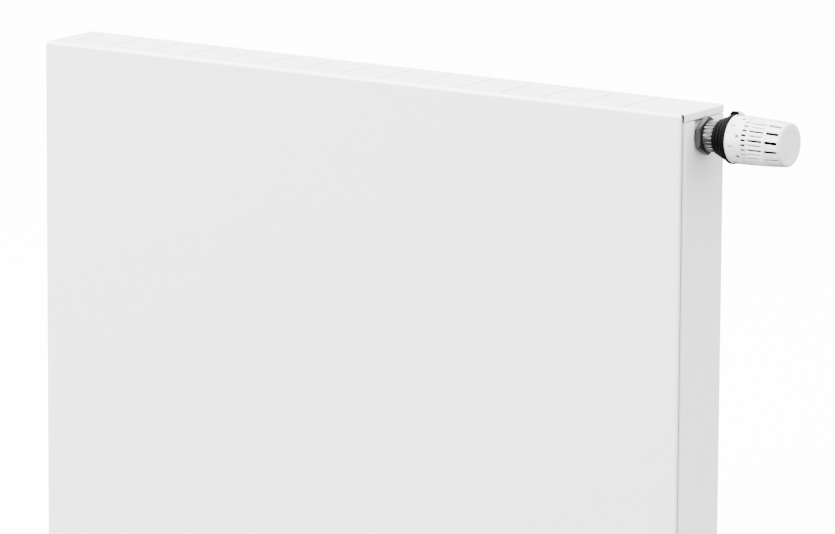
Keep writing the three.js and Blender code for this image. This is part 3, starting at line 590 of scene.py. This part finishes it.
press = dict(
    sheet=1.2, crown=5.5, seam=8, side=4, top=5, bottom=8, flange=4, header=34,
    pitch=50, channel=30, draft=4.5, draftSteps=8, seamGap=0.3, sharp=50,
)


def ramp(t):
    t = max(0, min(1, t))
    return t * t * (3 - 2 * t)


def pressedSheet(name, seam, way, node):
    # one half of a water panel: headers and channels pressed out of a flat sheet
    low, high = press["side"], width - press["side"]
    count = round(width / press["pitch"])
    first = (width - (count - 1) * press["pitch"]) / 2
    draft, halfSteps = press["draft"], press["draftSteps"] // 2
    zLow, zHigh = press["bottom"], height - press["top"]
    inLow, inHigh = zLow + press["flange"], zHigh - press["flange"]
    valleyLow, valleyHigh = inLow + press["header"], inHigh - press["header"]
    edges = [low + press["flange"] + draft / 2, high - press["flange"] - draft / 2]
    valleys = []
    for k in range(count - 1):
        valleys.append((
            first + k * press["pitch"] + press["channel"] / 2,
            first + (k + 1) * press["pitch"] - press["channel"] / 2,
        ))

    def lines(marks, ends):
        # rows of points close together across each slope, none in between
        found = set(ends)
        for mark in marks:
            for k in range(-halfSteps, halfSteps + 1):
                found.add(round(mark + k * draft / press["draftSteps"], 4))
        return sorted(v for v in found if ends[0] <= v <= ends[1])

    xs = lines(edges + [v for pair in valleys for v in pair], (low, high))
    zs = lines([inLow + draft / 2, inHigh - draft / 2, valleyLow, valleyHigh], (zLow, zHigh))

    def riseAt(x, z):
        outer = min(ramp((x - edges[0]) / draft + 0.5), ramp((edges[1] - x) / draft + 0.5))
        outer = min(outer, ramp((z - inLow) / draft), ramp((inHigh - z) / draft))
        dip = 0
        for a, b in valleys:
            if a - draft < x < b + draft:
                dip = min(ramp((x - a) / draft + 0.5), ramp((b - x) / draft + 0.5))
        dip = min(dip, ramp((z - valleyLow) / draft + 0.5), ramp((valleyHigh - z) / draft + 0.5))
        return outer * (1 - dip)

    verts, faces = [], []
    halfGap = press["seamGap"] / 2
    rise = press["crown"] - press["seamGap"] / 2 - press["sheet"]
    for offset in (0, press["sheet"]):
        for z in zs:
            for x in xs:
                verts.append(place(x, seam + way * (halfGap + offset + rise * riseAt(x, z)), z))
    columns, rows = len(xs), len(zs)
    layer = columns * rows
    for r in range(rows - 1):
        for c in range(columns - 1):
            a = r * columns + c
            face = (a, a + 1, a + columns + 1, a + columns)
            faces += [face, tuple(layer + v for v in reversed(face))]
    rim = list(range(columns))
    rim += [r * columns + columns - 1 for r in range(1, rows)]
    rim += [(rows - 1) * columns + c for c in range(columns - 2, -1, -1)]
    rim += [r * columns for r in range(rows - 2, 0, -1)]
    for k, v in enumerate(rim):
        after = rim[(k + 1) % len(rim)]
        faces.append((v, after, layer + after, layer + v))
    piece = addPiece(name, verts, faces, sharp=press["sharp"])
    slot = "enamel_white" if node == "rear_panel_outer_sheet" else "enamel_inside"
    finishPiece(piece, slot, "radiator", [node])


pressedSheet("frontPanelOuter", press["seam"], -1, "front_panel_outer_sheet")
pressedSheet("frontPanelInner", press["seam"], 1, "front_panel_inner_sheet")
pressedSheet("rearPanelInner", depth - press["seam"], -1, "rear_panel_inner_sheet")
pressedSheet("rearPanelOuter", depth - press["seam"], 1, "rear_panel_outer_sheet")

fin = dict(sheet=0.6, crest=22, bend=2.2, edge=0.12)
for number in range(1, 7):
    low, high = nodeBox(f"convector_{number}")
    half = fin["sheet"] / 2
    near, far, middle, crest = low.y + half, high.y - half, (low.x + high.x) / 2, fin["crest"]
    path = [(low.x, near), (low.x + crest, near), (middle - crest / 2, far)]
    path += [(2 * middle - x, y) for x, y in reversed(path)]
    section = sheetSection(path, fin["sheet"], fin["bend"])
    piece = prism(f"convectorFin{number}", section, "z", (low.z, high.z))
    soften(piece, fin["edge"], segments=1)
    finishPiece(piece, "enamel_inside", "radiator", [f"convector_{number}"])

lug = dict(sheet=2.5, bridge=28, foot=12, bend=2.6, edge=0.5)
for level in ("lower", "upper"):
    for hand in ("left", "right"):
        node = f"wall_lug_{level}_{hand}"
        low, high = nodeBox(node)
        middle, half = (low.x + high.x) / 2, lug["sheet"] / 2
        path = [
            (low.x, low.y + half),
            (low.x + lug["foot"], low.y + half),
            (middle - lug["bridge"] / 2, high.y - half),
        ]
        path += [(2 * middle - x, y) for x, y in reversed(path)]
        section = sheetSection(path, lug["sheet"], lug["bend"])
        piece = prism("wallLug" + level.title() + hand.title(), section, "z", (low.z, high.z))
        soften(piece, lug["edge"], segments=3)
        finishPiece(piece, "enamel_white", "radiator", [node])
print("panels, convector and lugs done")

hexagon = dict(
    flats=36, start=2, end=8, chamfer=1.1, corner=20.3, edge=0.25, bevelAngle=25,
    trimIn=0.3, trimDrop=0.9, trimOver=0.5, trimSides=96,
)
across = hexagon["flats"] / math.sqrt(3)
outline = []
for step in range(6):
    a = math.radians(60 * step + 30)
    outline.append((axisV + across * math.cos(a), axisW + across * math.sin(a)))
nutBlock = prism("hexagon", outline, "x", (width + hexagon["start"], width + hexagon["end"]))
half = hexagon["flats"] / 2 - hexagon["trimIn"]
trim = revolved("trim", [
    (hexagon["start"] - hexagon["trimOver"], 0),
    (hexagon["start"] - hexagon["trimOver"], half - hexagon["trimDrop"]),
    (hexagon["start"] + hexagon["chamfer"], hexagon["corner"]),
    (hexagon["end"] - hexagon["chamfer"], hexagon["corner"]),
    (hexagon["end"] + hexagon["trimOver"], half - hexagon["trimDrop"]),
    (hexagon["end"] + hexagon["trimOver"], 0),
], hexagon["trimSides"])
carve(nutBlock, [trim], "INTERSECT")
soften(nutBlock, hexagon["edge"], angle=hexagon["bevelAngle"])

neck = dict(
    back=-18, bore=3.3, tube=9.7, tubeEnd=-2.7, radius=11.6, end=2.6, sides=72, sharp=40,
    root=(7.6, 11.9), thread=12.8, threadStart=8.2, threadEnd=14.5, pitch=1.5, deep=0.85,
    runOut=0.6, tail=((0.3, 0.8), (0, 1.2)),
)
profile = [
    (neck["back"], neck["bore"]), (neck["back"], neck["tube"]), (neck["tubeEnd"], neck["tube"]),
    (neck["tubeEnd"], neck["radius"]), (neck["end"], neck["radius"]), neck["root"],
]
out = neck["threadStart"]
while out < neck["threadEnd"] - neck["runOut"]:
    profile += [(out, neck["thread"] - neck["deep"]), (out + neck["pitch"] / 2, neck["thread"])]
    out += neck["pitch"]
profile += [(neck["threadEnd"] - back, neck["thread"] - drop) for back, drop in neck["tail"]]
profile.append((neck["threadEnd"], neck["bore"]))
piece = revolved("neck", profile, neck["sides"])
carve(piece, [nutBlock], "UNION")
piece.name = "valveBody"
crease(piece, neck["sharp"])
# the valve body carries the darkened grey, painted shade over its own grey metal
finishPiece(piece, "valve_grey", "radiator", ["valve_body"])

seal = dict(start=0.3, end=1.7, inner=12, outer=15, edge=0.5)
turnedPiece("valveBodySeal", ringProfile(**seal), 96, "rubber", "radiator", "valve_body_seal")

nut = dict(
    start=8.6, end=20.5, outer=16.3, bore=13.1, flange=15.6, flangeBore=11.2, sharp=40,
    nearSteps=((0, 14.6), (0.35, 15.1), (0.9, 15.9)), nearFull=1.3,
    farFull=1.9, farSteps=((1.4, 15.9), (0.6, 14.9), (0, 14.4)),
    ribs=24, ribSides=14, groove=0.95, grooveStart=0.5, grooveEnd=0.98, grooveSlope=0.14,
    plainBelow=15.5, deepAbove=16, shallow=0.55,
)


def knurl(turn, out, radius):
    # ribs along the axis, fading out at both chamfers
    if radius < nut["plainBelow"]:
        return 0
    t = (turn * nut["ribs"] / 360) % 1
    slope = nut["grooveSlope"]
    hollow = ramp((t - nut["grooveStart"]) / slope) * ramp((nut["grooveEnd"] - t) / slope)
    return -nut["groove"] * hollow * (1 if radius > nut["deepAbove"] else nut["shallow"])


profile = [
    (nut["start"], nut["bore"]),
    *[(nut["start"] + step, radius) for step, radius in nut["nearSteps"]],
    (nut["start"] + nut["nearFull"], nut["outer"]),
    (nut["end"] - nut["farFull"], nut["outer"]),
    *[(nut["end"] - step, radius) for step, radius in nut["farSteps"]],
    (nut["end"], nut["flangeBore"]),
    (nut["flange"], nut["flangeBore"]),
    (nut["flange"], nut["bore"]),
]
# the union nut carries the darkened nickel colour, painted shade over its real plating
turnedPiece(
    "unionNut", profile, nut["ribs"] * nut["ribSides"], "nickel_plate", "radiator", "union_nut",
    sharp=nut["sharp"], shape=knurl,
)

spindle = dict(radius=2.9, collar=5.8, collarStart=-7.5, collarEnd=-6, tip=18, edge=0.35, sharp=50)
spindleEnd = (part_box("valve_spindle")[0].x - sideX) / mm
profile = [
    (spindleEnd, 0), (spindleEnd, spindle["radius"]),
    (spindle["collarStart"], spindle["radius"]), (spindle["collarStart"], spindle["collar"]),
    (spindle["collarEnd"], spindle["collar"]), (spindle["collarEnd"], spindle["radius"]),
    (spindle["tip"], spindle["radius"]), (spindle["tip"], 0),
]
turnedPiece(
    "valveSpindle", rounded(profile, spindle["edge"]), 48,
    "nickel_plate", "valve_pin", "valve_spindle", sharp=spindle["sharp"],
)

disc = dict(radius=8, edge=0.6)
low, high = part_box("valve_disc")
profile = ringProfile((low.x - sideX) / mm, (high.x - sideX) / mm, 0, disc["radius"], disc["edge"])
turnedPiece("valveDisc", profile, 64, "rubber", "valve_pin", "valve_disc")

retainer = dict(start=-18, end=-16.2, inner=3.4, outer=6.2, edge=0.3)
turnedPiece("springRetainer", ringProfile(**retainer), 48, "brass", "radiator", "spring_retainer")

# each cut is its start, end, width, inner and outer radius
preset = dict(start=15, end=17.7, inner=4.2, outer=9, edge=0.3)
presetCuts = dict(
    slot=(16.4, 19, 2, 6.6, 10), tick=(17.3, 19, 0.5, 7.2, 8.6), ticks=7, turn=40, sharp=40,
)
piece = revolved("presetRing", ringProfile(**preset), 72)
carve(piece, [barAt(*presetCuts["slot"], 0)])
for number in range(1, presetCuts["ticks"] + 1):
    carve(piece, [barAt(*presetCuts["tick"], presetCuts["turn"] * number)])
crease(piece, presetCuts["sharp"])
finishPiece(piece, "red_plastic", "preset_ring", ["preset_ring"])


def springPiece(name, radius, wire, turns, start, end, sides=10, perTurn=40, sharp=60):
    # a wound wire with flatter ends, from start to end along the valve's axis
    clear, eased, even = 0.02, 0.35, 0.65
    low, high = start + wire / 2 + clear, end - wire / 2 - clear
    steps = int(turns * perTurn)
    verts, faces = [], []
    for k in range(steps + 1):
        t = k / steps
        out, turn = low + (high - low) * (ramp(t) * eased + t * even), 360 * turns * t
        for i in range(sides):
            a = 2 * math.pi * i / sides
            rise, grow = wire / 2 * math.sin(a), wire / 2 * math.cos(a)
            verts.append(onAxis(out + rise, radius + grow, turn))
    for k in range(steps):
        for i in range(sides):
            j = (i + 1) % sides
            near, far = k * sides, (k + 1) * sides
            faces.append((near + i, near + j, far + j, far + i))
    faces += [tuple(range(sides)), tuple(range((steps + 1) * sides - 1, steps * sides - 1, -1))]
    return addPiece(name, verts, faces, sharp=sharp)


# two wound springs along the valve's axis, each between its start and end
returnSpring = dict(radius=4.9, wire=0.9, turns=4.5, start=-15.9, end=-7.8)
piece = springPiece("returnSpring", **returnSpring)
finishPiece(piece, "spring_steel", "valve_pin", ["return_spring"])
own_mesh(piece)
overSpring = dict(radius=7, wire=1.1, turns=5.5, start=23.3, end=47.7)
piece = springPiece("overtravelSpring", **overSpring)
finishPiece(piece, "spring_steel", "sensor", ["overtravel_spring"])
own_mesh(piece)
print("valve done")

base = dict(
    hookStart=14.8, hookEnd=15.3, lip=12.6, hub=10.9, hubBore=9.4, floor=21, shelf=23, pinHole=4.4,
    tube=15, tubeBore=12.6, tubeEnd=46, shoulder=(36.4, 25.2), rimStart=37.1, rimFlatEnd=40.0,
    rimEnd=40.3, rimEdge=0.3, rim=25.95, rimBore=25.3, rimFloor=36.7, cone=((35, 22.5), (23, 16)),
    round=0.3, roundSteps=2, sides=144, sharp=50,
)
ridges = dict(
    count=3, first=18.5, rise=2.4, wide=4.2, pitch=5.2, groove=1.1,
    crest=0.5, edgeShare=0.75, foot=0.15, footShare=0.2,
)
profile = [
    (base["hookStart"], base["hubBore"]), (base["hookStart"], base["lip"]),
    (base["hookEnd"], base["lip"]), (base["hookEnd"], base["hub"]), (base["floor"], base["hub"]),
]
for k in range(ridges["count"]):
    start, radius = base["floor"] + k * ridges["pitch"], ridges["first"] + k * ridges["rise"]
    end, deep = start + ridges["wide"], ridges["groove"]
    profile += [
        (start, radius - deep), (start + deep / 2, radius), (end - ridges["crest"], radius + deep),
        (end, radius + deep * ridges["edgeShare"]),
        (end + ridges["foot"], radius + deep * ridges["footShare"]),
    ]
profile += [
    base["shoulder"], (base["rimStart"], base["rim"]), (base["rimFlatEnd"], base["rim"]),
    (base["rimEnd"], base["rim"] - base["rimEdge"]), (base["rimEnd"], base["rimBore"]),
    (base["rimFloor"], base["rimBore"]), *base["cone"],
    (base["shelf"], base["tube"]), (base["tubeEnd"], base["tube"]),
    (base["tubeEnd"], base["tubeBore"]), (base["shelf"], base["tubeBore"]),
    (base["shelf"], base["pinHole"]), (base["floor"], base["pinHole"]),
    (base["floor"], base["hubBore"]),
]
turnedPiece(
    "headBase", rounded(profile, base["round"], base["roundSteps"]), base["sides"],
    "head_black", "radiator", "head_base", sharp=base["sharp"],
)

# the underside's heights are above the rim's bore
pointer = dict(
    start=33, tip=43.6, end=48.5, top=28.2, low=26.5, half=2.4, edge=0.45, bevelAngle=30,
    underside=((33, -2.7), (35.5, -1.7), (36.4, 0.2), (43.6, 0.28)), lean=2, shoulder=3.2,
    tipGap=0.05, tipRise=0.3, tipDrop=0.1, tipIn=0.15, tipEdge=0.35, segments=3,
)


def bladeAt(name, points, half, edge, finish):
    outline = [(out + width, axisW + radius) for out, radius in points]
    piece = prism(name, outline, "y", (axisV - half, axisV + half))
    soften(piece, edge, segments=pointer["segments"], angle=pointer["bevelAngle"])
    finishPiece(piece, "head_black", "radiator", finish=finish)


bladeAt("pointer", [
    *[(out, base["rimBore"] + above) for out, above in pointer["underside"]],
    (pointer["tip"], pointer["top"]),
    (pointer["start"] + pointer["lean"], pointer["top"]),
    (pointer["start"], pointer["top"] - pointer["shoulder"]),
], pointer["half"], pointer["edge"], "head_black")
bladeAt("pointerTip", [
    (pointer["tip"] + pointer["tipGap"], base["rimBore"] + pointer["tipRise"]),
    (pointer["end"], base["rimBore"] + pointer["tipRise"]),
    (pointer["end"], pointer["low"]),
    (pointer["tip"] + pointer["tipGap"], pointer["top"] - pointer["tipDrop"]),
], pointer["half"] - pointer["tipIn"], pointer["tipEdge"], "tip_grey")

# rows are the rings of points that the flutes need; spans are out from the casing's side
handle = dict(
    start=39.2, scaleEnd=58.2, ribEnd=83.5, end=101, startR=25, scaleR=24.8, ribR=23.9, endR=22.6,
    wall=1.8, rows=(65.2, 65.6, 66.1, 72, 77, 82.2, 82.7, 83.1),
    round=0.4, roundSteps=3, sides=360, edge=0.22, bevelAngle=40,
)
ring = dict(
    notches=30, notchSpan=(58.6, 64.2), notchWide=2.3,
    slots=15, slotSpan=(66.5, 82.5), slotWide=1.9, grooveSpan=(67.5, 82), groove=1.05,
    flute=0.95, fluteSpan=(65.2, 83.1), fluteFade=0.9, fluteSharp=1.2, fluteSkin=0.6,
    windowSpan=(85.7, 100), windowWide=3, inner=19, outer=27, turn=7.8,
)


def flutes(turn, out, radius):
    # the rib ring's surface dips at every slot and groove
    low, high = ring["fluteSpan"]
    if radius < handle["ribR"] - ring["fluteSkin"] or not low < out < high:
        return 0
    ends = ramp((out - low) / ring["fluteFade"]) * ramp((high - out) / ring["fluteFade"])
    wave = 0.5 + 0.5 * math.cos(math.radians(2 * ring["slots"] * (turn - ring["turn"])))
    return -ring["flute"] * wave ** ring["fluteSharp"] * ends


def ribRadius(out):
    share = (out - handle["scaleEnd"]) / (handle["ribEnd"] - handle["scaleEnd"])
    return handle["scaleR"] + (handle["ribR"] - handle["scaleR"]) * share


def ringCut(span, wide, turn):
    return barAt(*span, wide, ring["inner"], ring["outer"], turn)


profile = [
    (handle["start"], handle["startR"]), (handle["scaleEnd"], handle["scaleR"]),
    *[(out, ribRadius(out)) for out in handle["rows"]],
    (handle["ribEnd"], handle["ribR"]), (handle["end"], handle["endR"]),
    (handle["end"], handle["endR"] - handle["wall"]),
    (handle["ribEnd"], handle["ribR"] - handle["wall"]),
    (handle["scaleEnd"], handle["scaleR"] - handle["wall"]),
    (handle["start"], handle["startR"] - handle["wall"]),
]
profile = rounded(profile, handle["round"], handle["roundSteps"])
piece = revolved("handle", profile, handle["sides"], flutes)
cuts = []
for k in range(ring["notches"]):
    turn = 360 * k / ring["notches"] + ring["turn"]
    cuts.append(ringCut(ring["notchSpan"], ring["notchWide"], turn))
for k in range(ring["slots"]):
    turn = 360 * k / ring["slots"] + ring["turn"]
    cuts.append(ringCut(ring["slotSpan"], ring["slotWide"], turn))
    cuts.append(ringCut(ring["grooveSpan"], ring["groove"], turn + 180 / ring["slots"]))
    cuts.append(ringCut(ring["windowSpan"], ring["windowWide"], turn))
carve(piece, [joinPieces("cuts", cuts)])
soften(piece, handle["edge"], angle=handle["bevelAngle"])
finishPiece(piece, "head_white", "handle", ["handle"])

cap = dict(
    start=101.3, end=103, shoulder=22.3, shoulderFromEnd=1.1, bend=21.5, bendFromEnd=0.4,
    edge=20, recess=13.8, recessDepth=1, round=0.5, sides=144, sharp=55,
)
profile = [
    (cap["start"], 0), (cap["start"], handle["endR"]),
    (cap["end"] - cap["shoulderFromEnd"], cap["shoulder"]),
    (cap["end"] - cap["bendFromEnd"], cap["bend"]),
    (cap["end"], cap["edge"]), (cap["end"], cap["recess"]),
    (cap["end"] - cap["recessDepth"], cap["recess"]), (cap["end"] - cap["recessDepth"], 0),
]
turnedPiece(
    "endCap", rounded(profile, cap["round"]), cap["sides"],
    "head_white", "handle", "end_cap", sharp=cap["sharp"],
)

endDisc = dict(
    profile=(
        (102.3, 0), (102.3, 13.3), (102.45, 13.5), (102.8, 13.5), (102.97, 13.3), (103, 12.9),
        (102.9, 11.2), (102.86, 6), (102.85, 0),
    ),
    sides=144, sharp=55,
)
turnedPiece(
    "endDisc", endDisc["profile"], endDisc["sides"],
    "head_white", "handle", "end_disc", sharp=endDisc["sharp"],
)

scale = dict(
    numerals="012345", first=147, step=50, row=46.6, size=6.8, thick=0.04, bold=0.22, lift=0.015,
    dotRow=54.2, dot=1.8, dotWide=2.9, dotInner=24.6, dotOuter=24.91, weld=1e-5, sharp=40,
)


def numeralMesh(numeral):
    # one flat numeral with a little thickness, its middle at the origin
    curve = bpy.data.curves.new("numeral", "FONT")
    curve.body = numeral
    curve.size = scale["size"]
    curve.align_x, curve.align_y = "CENTER", "CENTER"
    curve.extrude = scale["thick"]
    curve.offset = scale["bold"]
    text = linked("numeral", curve)
    graph = bpy.context.evaluated_depsgraph_get()
    mesh = bpy.data.meshes.new_from_object(text.evaluated_get(graph))
    bpy.data.objects.remove(text)
    return mesh


marks = []
for index, numeral in enumerate(scale["numerals"]):
    mesh = numeralMesh(numeral)
    turn = scale["first"] - scale["step"] * index
    bm = bmesh.new()
    bm.from_mesh(mesh)
    bmesh.ops.remove_doubles(bm, verts=bm.verts, dist=scale["weld"])
    for v in bm.verts:
        # wrapped round the scale ring
        out = scale["row"] + v.co.y
        share = (out - handle["start"]) / (handle["scaleEnd"] - handle["start"])
        skin = handle["startR"] + (handle["scaleR"] - handle["startR"]) * share
        radius = skin + scale["lift"] + v.co.z
        v.co = onAxis(out, radius, turn - math.degrees(v.co.x / radius))
    bmesh.ops.recalc_face_normals(bm, faces=bm.faces)
    bm.to_mesh(mesh)
    bm.free()
    marks.append(linked("numeral", mesh))
    if index:
        marks.append(barAt(
            scale["dotRow"] - scale["dot"], scale["dotRow"] + scale["dot"], scale["dotWide"],
            scale["dotInner"], scale["dotOuter"], turn + scale["step"] / 2,
        ))
piece = joinPieces("scaleMarks", marks)
crease(piece, scale["sharp"])
finishPiece(piece, "head_white", "handle", finish="print_grey")

carrier = dict(
    cupEnd=62, cupBore=11.4, cupOuter=13.4, plate=90.3, plateEnd=92.3, plateR=20.4,
    round=0.35, sides=72, sharp=50,
)
profile = [
    (carrier["plate"], 0), (carrier["plate"], carrier["cupBore"]),
    (carrier["cupEnd"], carrier["cupBore"]), (carrier["cupEnd"], carrier["cupOuter"]),
    (carrier["plate"], carrier["cupOuter"]), (carrier["plate"], carrier["plateR"]),
    (carrier["plateEnd"], carrier["plateR"]), (carrier["plateEnd"], 0),
]
turnedPiece(
    "sensorCarrier", rounded(profile, carrier["round"]), carrier["sides"],
    "head_black", "handle", "sensor_carrier", sharp=carrier["sharp"],
)

capsule = dict(start=48, end=90, radius=11, face=9.8, shoulders=(49.2, 88.8), round=0.9)
profile = [
    (capsule["start"], 0), (capsule["start"], capsule["face"]),
    *[(out, capsule["radius"]) for out in capsule["shoulders"]],
    (capsule["end"], capsule["face"]), (capsule["end"], 0),
]
turnedPiece(
    "sensorCapsule", rounded(profile, capsule["round"]), 72,
    "sensor_can", "sensor", "sensor_capsule",
)

piston = dict(start=18.3, end=47.7, inner=0, outer=3.5, edge=0.5)
turnedPiece("sensorPiston", ringProfile(**piston), 48, "nickel_plate", "sensor", "sensor_piston")

limitClip = dict(start=42, end=48, wide=3, inner=20.6, outer=22.6)
limitClips = dict(turns=(-40, -70), edge=0.4, bevelAngle=40)
for number, turn in enumerate(limitClips["turns"], 1):
    piece = barAt(**limitClip, turn=turn)
    piece.name = f"limitClip{number}"
    soften(piece, limitClips["edge"], angle=limitClips["bevelAngle"])
    finishPiece(piece, "red_plastic", "handle", [f"limit_clip_{number}"])
print("head done")

# every node that keeps its own shape gets the finish of its slot
keptSharp = 32
kept = 0
for row in frame["record"]["subparts"]:
    node = nodes[row["node"]]
    if node.hide_render:
        continue
    node.data.materials.clear()
    node.data.materials.append(materials[row["material_slot"]])
    node.data.shade_smooth()
    crease(node, keptSharp)
    kept += 1
    print("kept", row["node"])
print("nodes that keep their own shape:", kept)

floor = dict(reach=30, gap=0.0005)
reach, floorZ = floor["reach"], cadBox[0].z - floor["gap"]
plate = bpy.data.meshes.new("floor")
plate.from_pydata([
    (-reach, -reach, floorZ), (reach, -reach, floorZ), (reach, reach, floorZ), (-reach, reach, floorZ),
], [], [(0, 1, 2, 3)])
ground = linked("floor", plate)
plate.materials.append(materials["studio_floor"])
ground.visible_diffuse = False  # the floor's glow doesn't light the underside of the head
ground.visible_glossy = False

# the sky's strength falls from above to below between two heights
studio = dict(above=7.1, below=0.5, lowHeight=-0.15, highHeight=0.5, floorGlow=8)
glow = materials["studio_floor"].node_tree.nodes["Principled BSDF"]
glow.inputs["Emission Color"].default_value = (1, 1, 1, 1)
glow.inputs["Emission Strength"].default_value = studio["floorGlow"]
world = bpy.data.worlds.new("studio")
bpy.context.scene.world = world
world.use_nodes = True
sky = world.node_tree
where = sky.nodes.new("ShaderNodeTexCoord")
split = sky.nodes.new("ShaderNodeSeparateXYZ")
blend = sky.nodes.new("ShaderNodeMapRange")
blend.interpolation_type = "SMOOTHSTEP"
blend.inputs["From Min"].default_value = studio["lowHeight"]
blend.inputs["From Max"].default_value = studio["highHeight"]
blend.inputs["To Min"].default_value = studio["below"]
blend.inputs["To Max"].default_value = studio["above"]
sky.links.new(where.outputs["Generated"], split.inputs["Vector"])
sky.links.new(split.outputs["Z"], blend.inputs["Value"])
sky.links.new(blend.outputs["Result"], sky.nodes["Background"].inputs["Strength"])
sky.nodes["Background"].inputs["Color"].default_value = (1, 1, 1, 1)

lamps = {
    "overhead": dict(at=(-1.5, -0.7, 2.9), aim=(0, 0, 0.5), size=0.9, power=150),
    "frontLeft": dict(at=(-1.6, -3.6, 1.7), aim=(0, 0, 0.35), size=2.0, power=260),
}
for name, lamp in lamps.items():
    data = bpy.data.lights.new(name, "AREA")
    data.energy = lamp["power"]
    data.size = lamp["size"]
    light = linked(name, data)
    light.location = lamp["at"]
    aim = Vector(lamp["aim"]) - Vector(lamp["at"])
    light.rotation_euler = aim.to_track_quat("-Z", "Y").to_euler()

# angles in radians and distances in metres; focal and wide share one unit, so do sensor and lens
shot = dict(
    yaw=0.5875, pitch=0.1954, roll=0.0059, away=6.81, aimX=-0.0007, aimZ=0.3968,
    focal=6500, wide=835, sensor=36, near=0.05, far=100,
)
data = bpy.data.cameras.new("camera")
data.lens = shot["focal"] / shot["wide"] * shot["sensor"]
data.sensor_width = shot["sensor"]
data.clip_start, data.clip_end = shot["near"], shot["far"]
camera = linked("camera", data)
yaw, pitch, roll = shot["yaw"], shot["pitch"], shot["roll"]
forward = Vector((
    -math.sin(yaw) * math.cos(pitch),
    math.cos(yaw) * math.cos(pitch),
    -math.sin(pitch),
))
level = Vector((math.cos(yaw), math.sin(yaw), 0))
upward = level.cross(forward)
right = level * math.cos(roll) + upward * math.sin(roll)
up = upward * math.cos(roll) - level * math.sin(roll)
spot = Vector((shot["aimX"], 0, shot["aimZ"])) - forward * shot["away"]
camera.matrix_world = Matrix((
    (right.x, up.x, -forward.x, spot.x),
    (right.y, up.y, -forward.y, spot.y),
    (right.z, up.z, -forward.z, spot.z),
    (0, 0, 0, 1),
))
bpy.context.scene.camera = camera
bpy.context.view_layer.update()
print("floor, light and camera done")
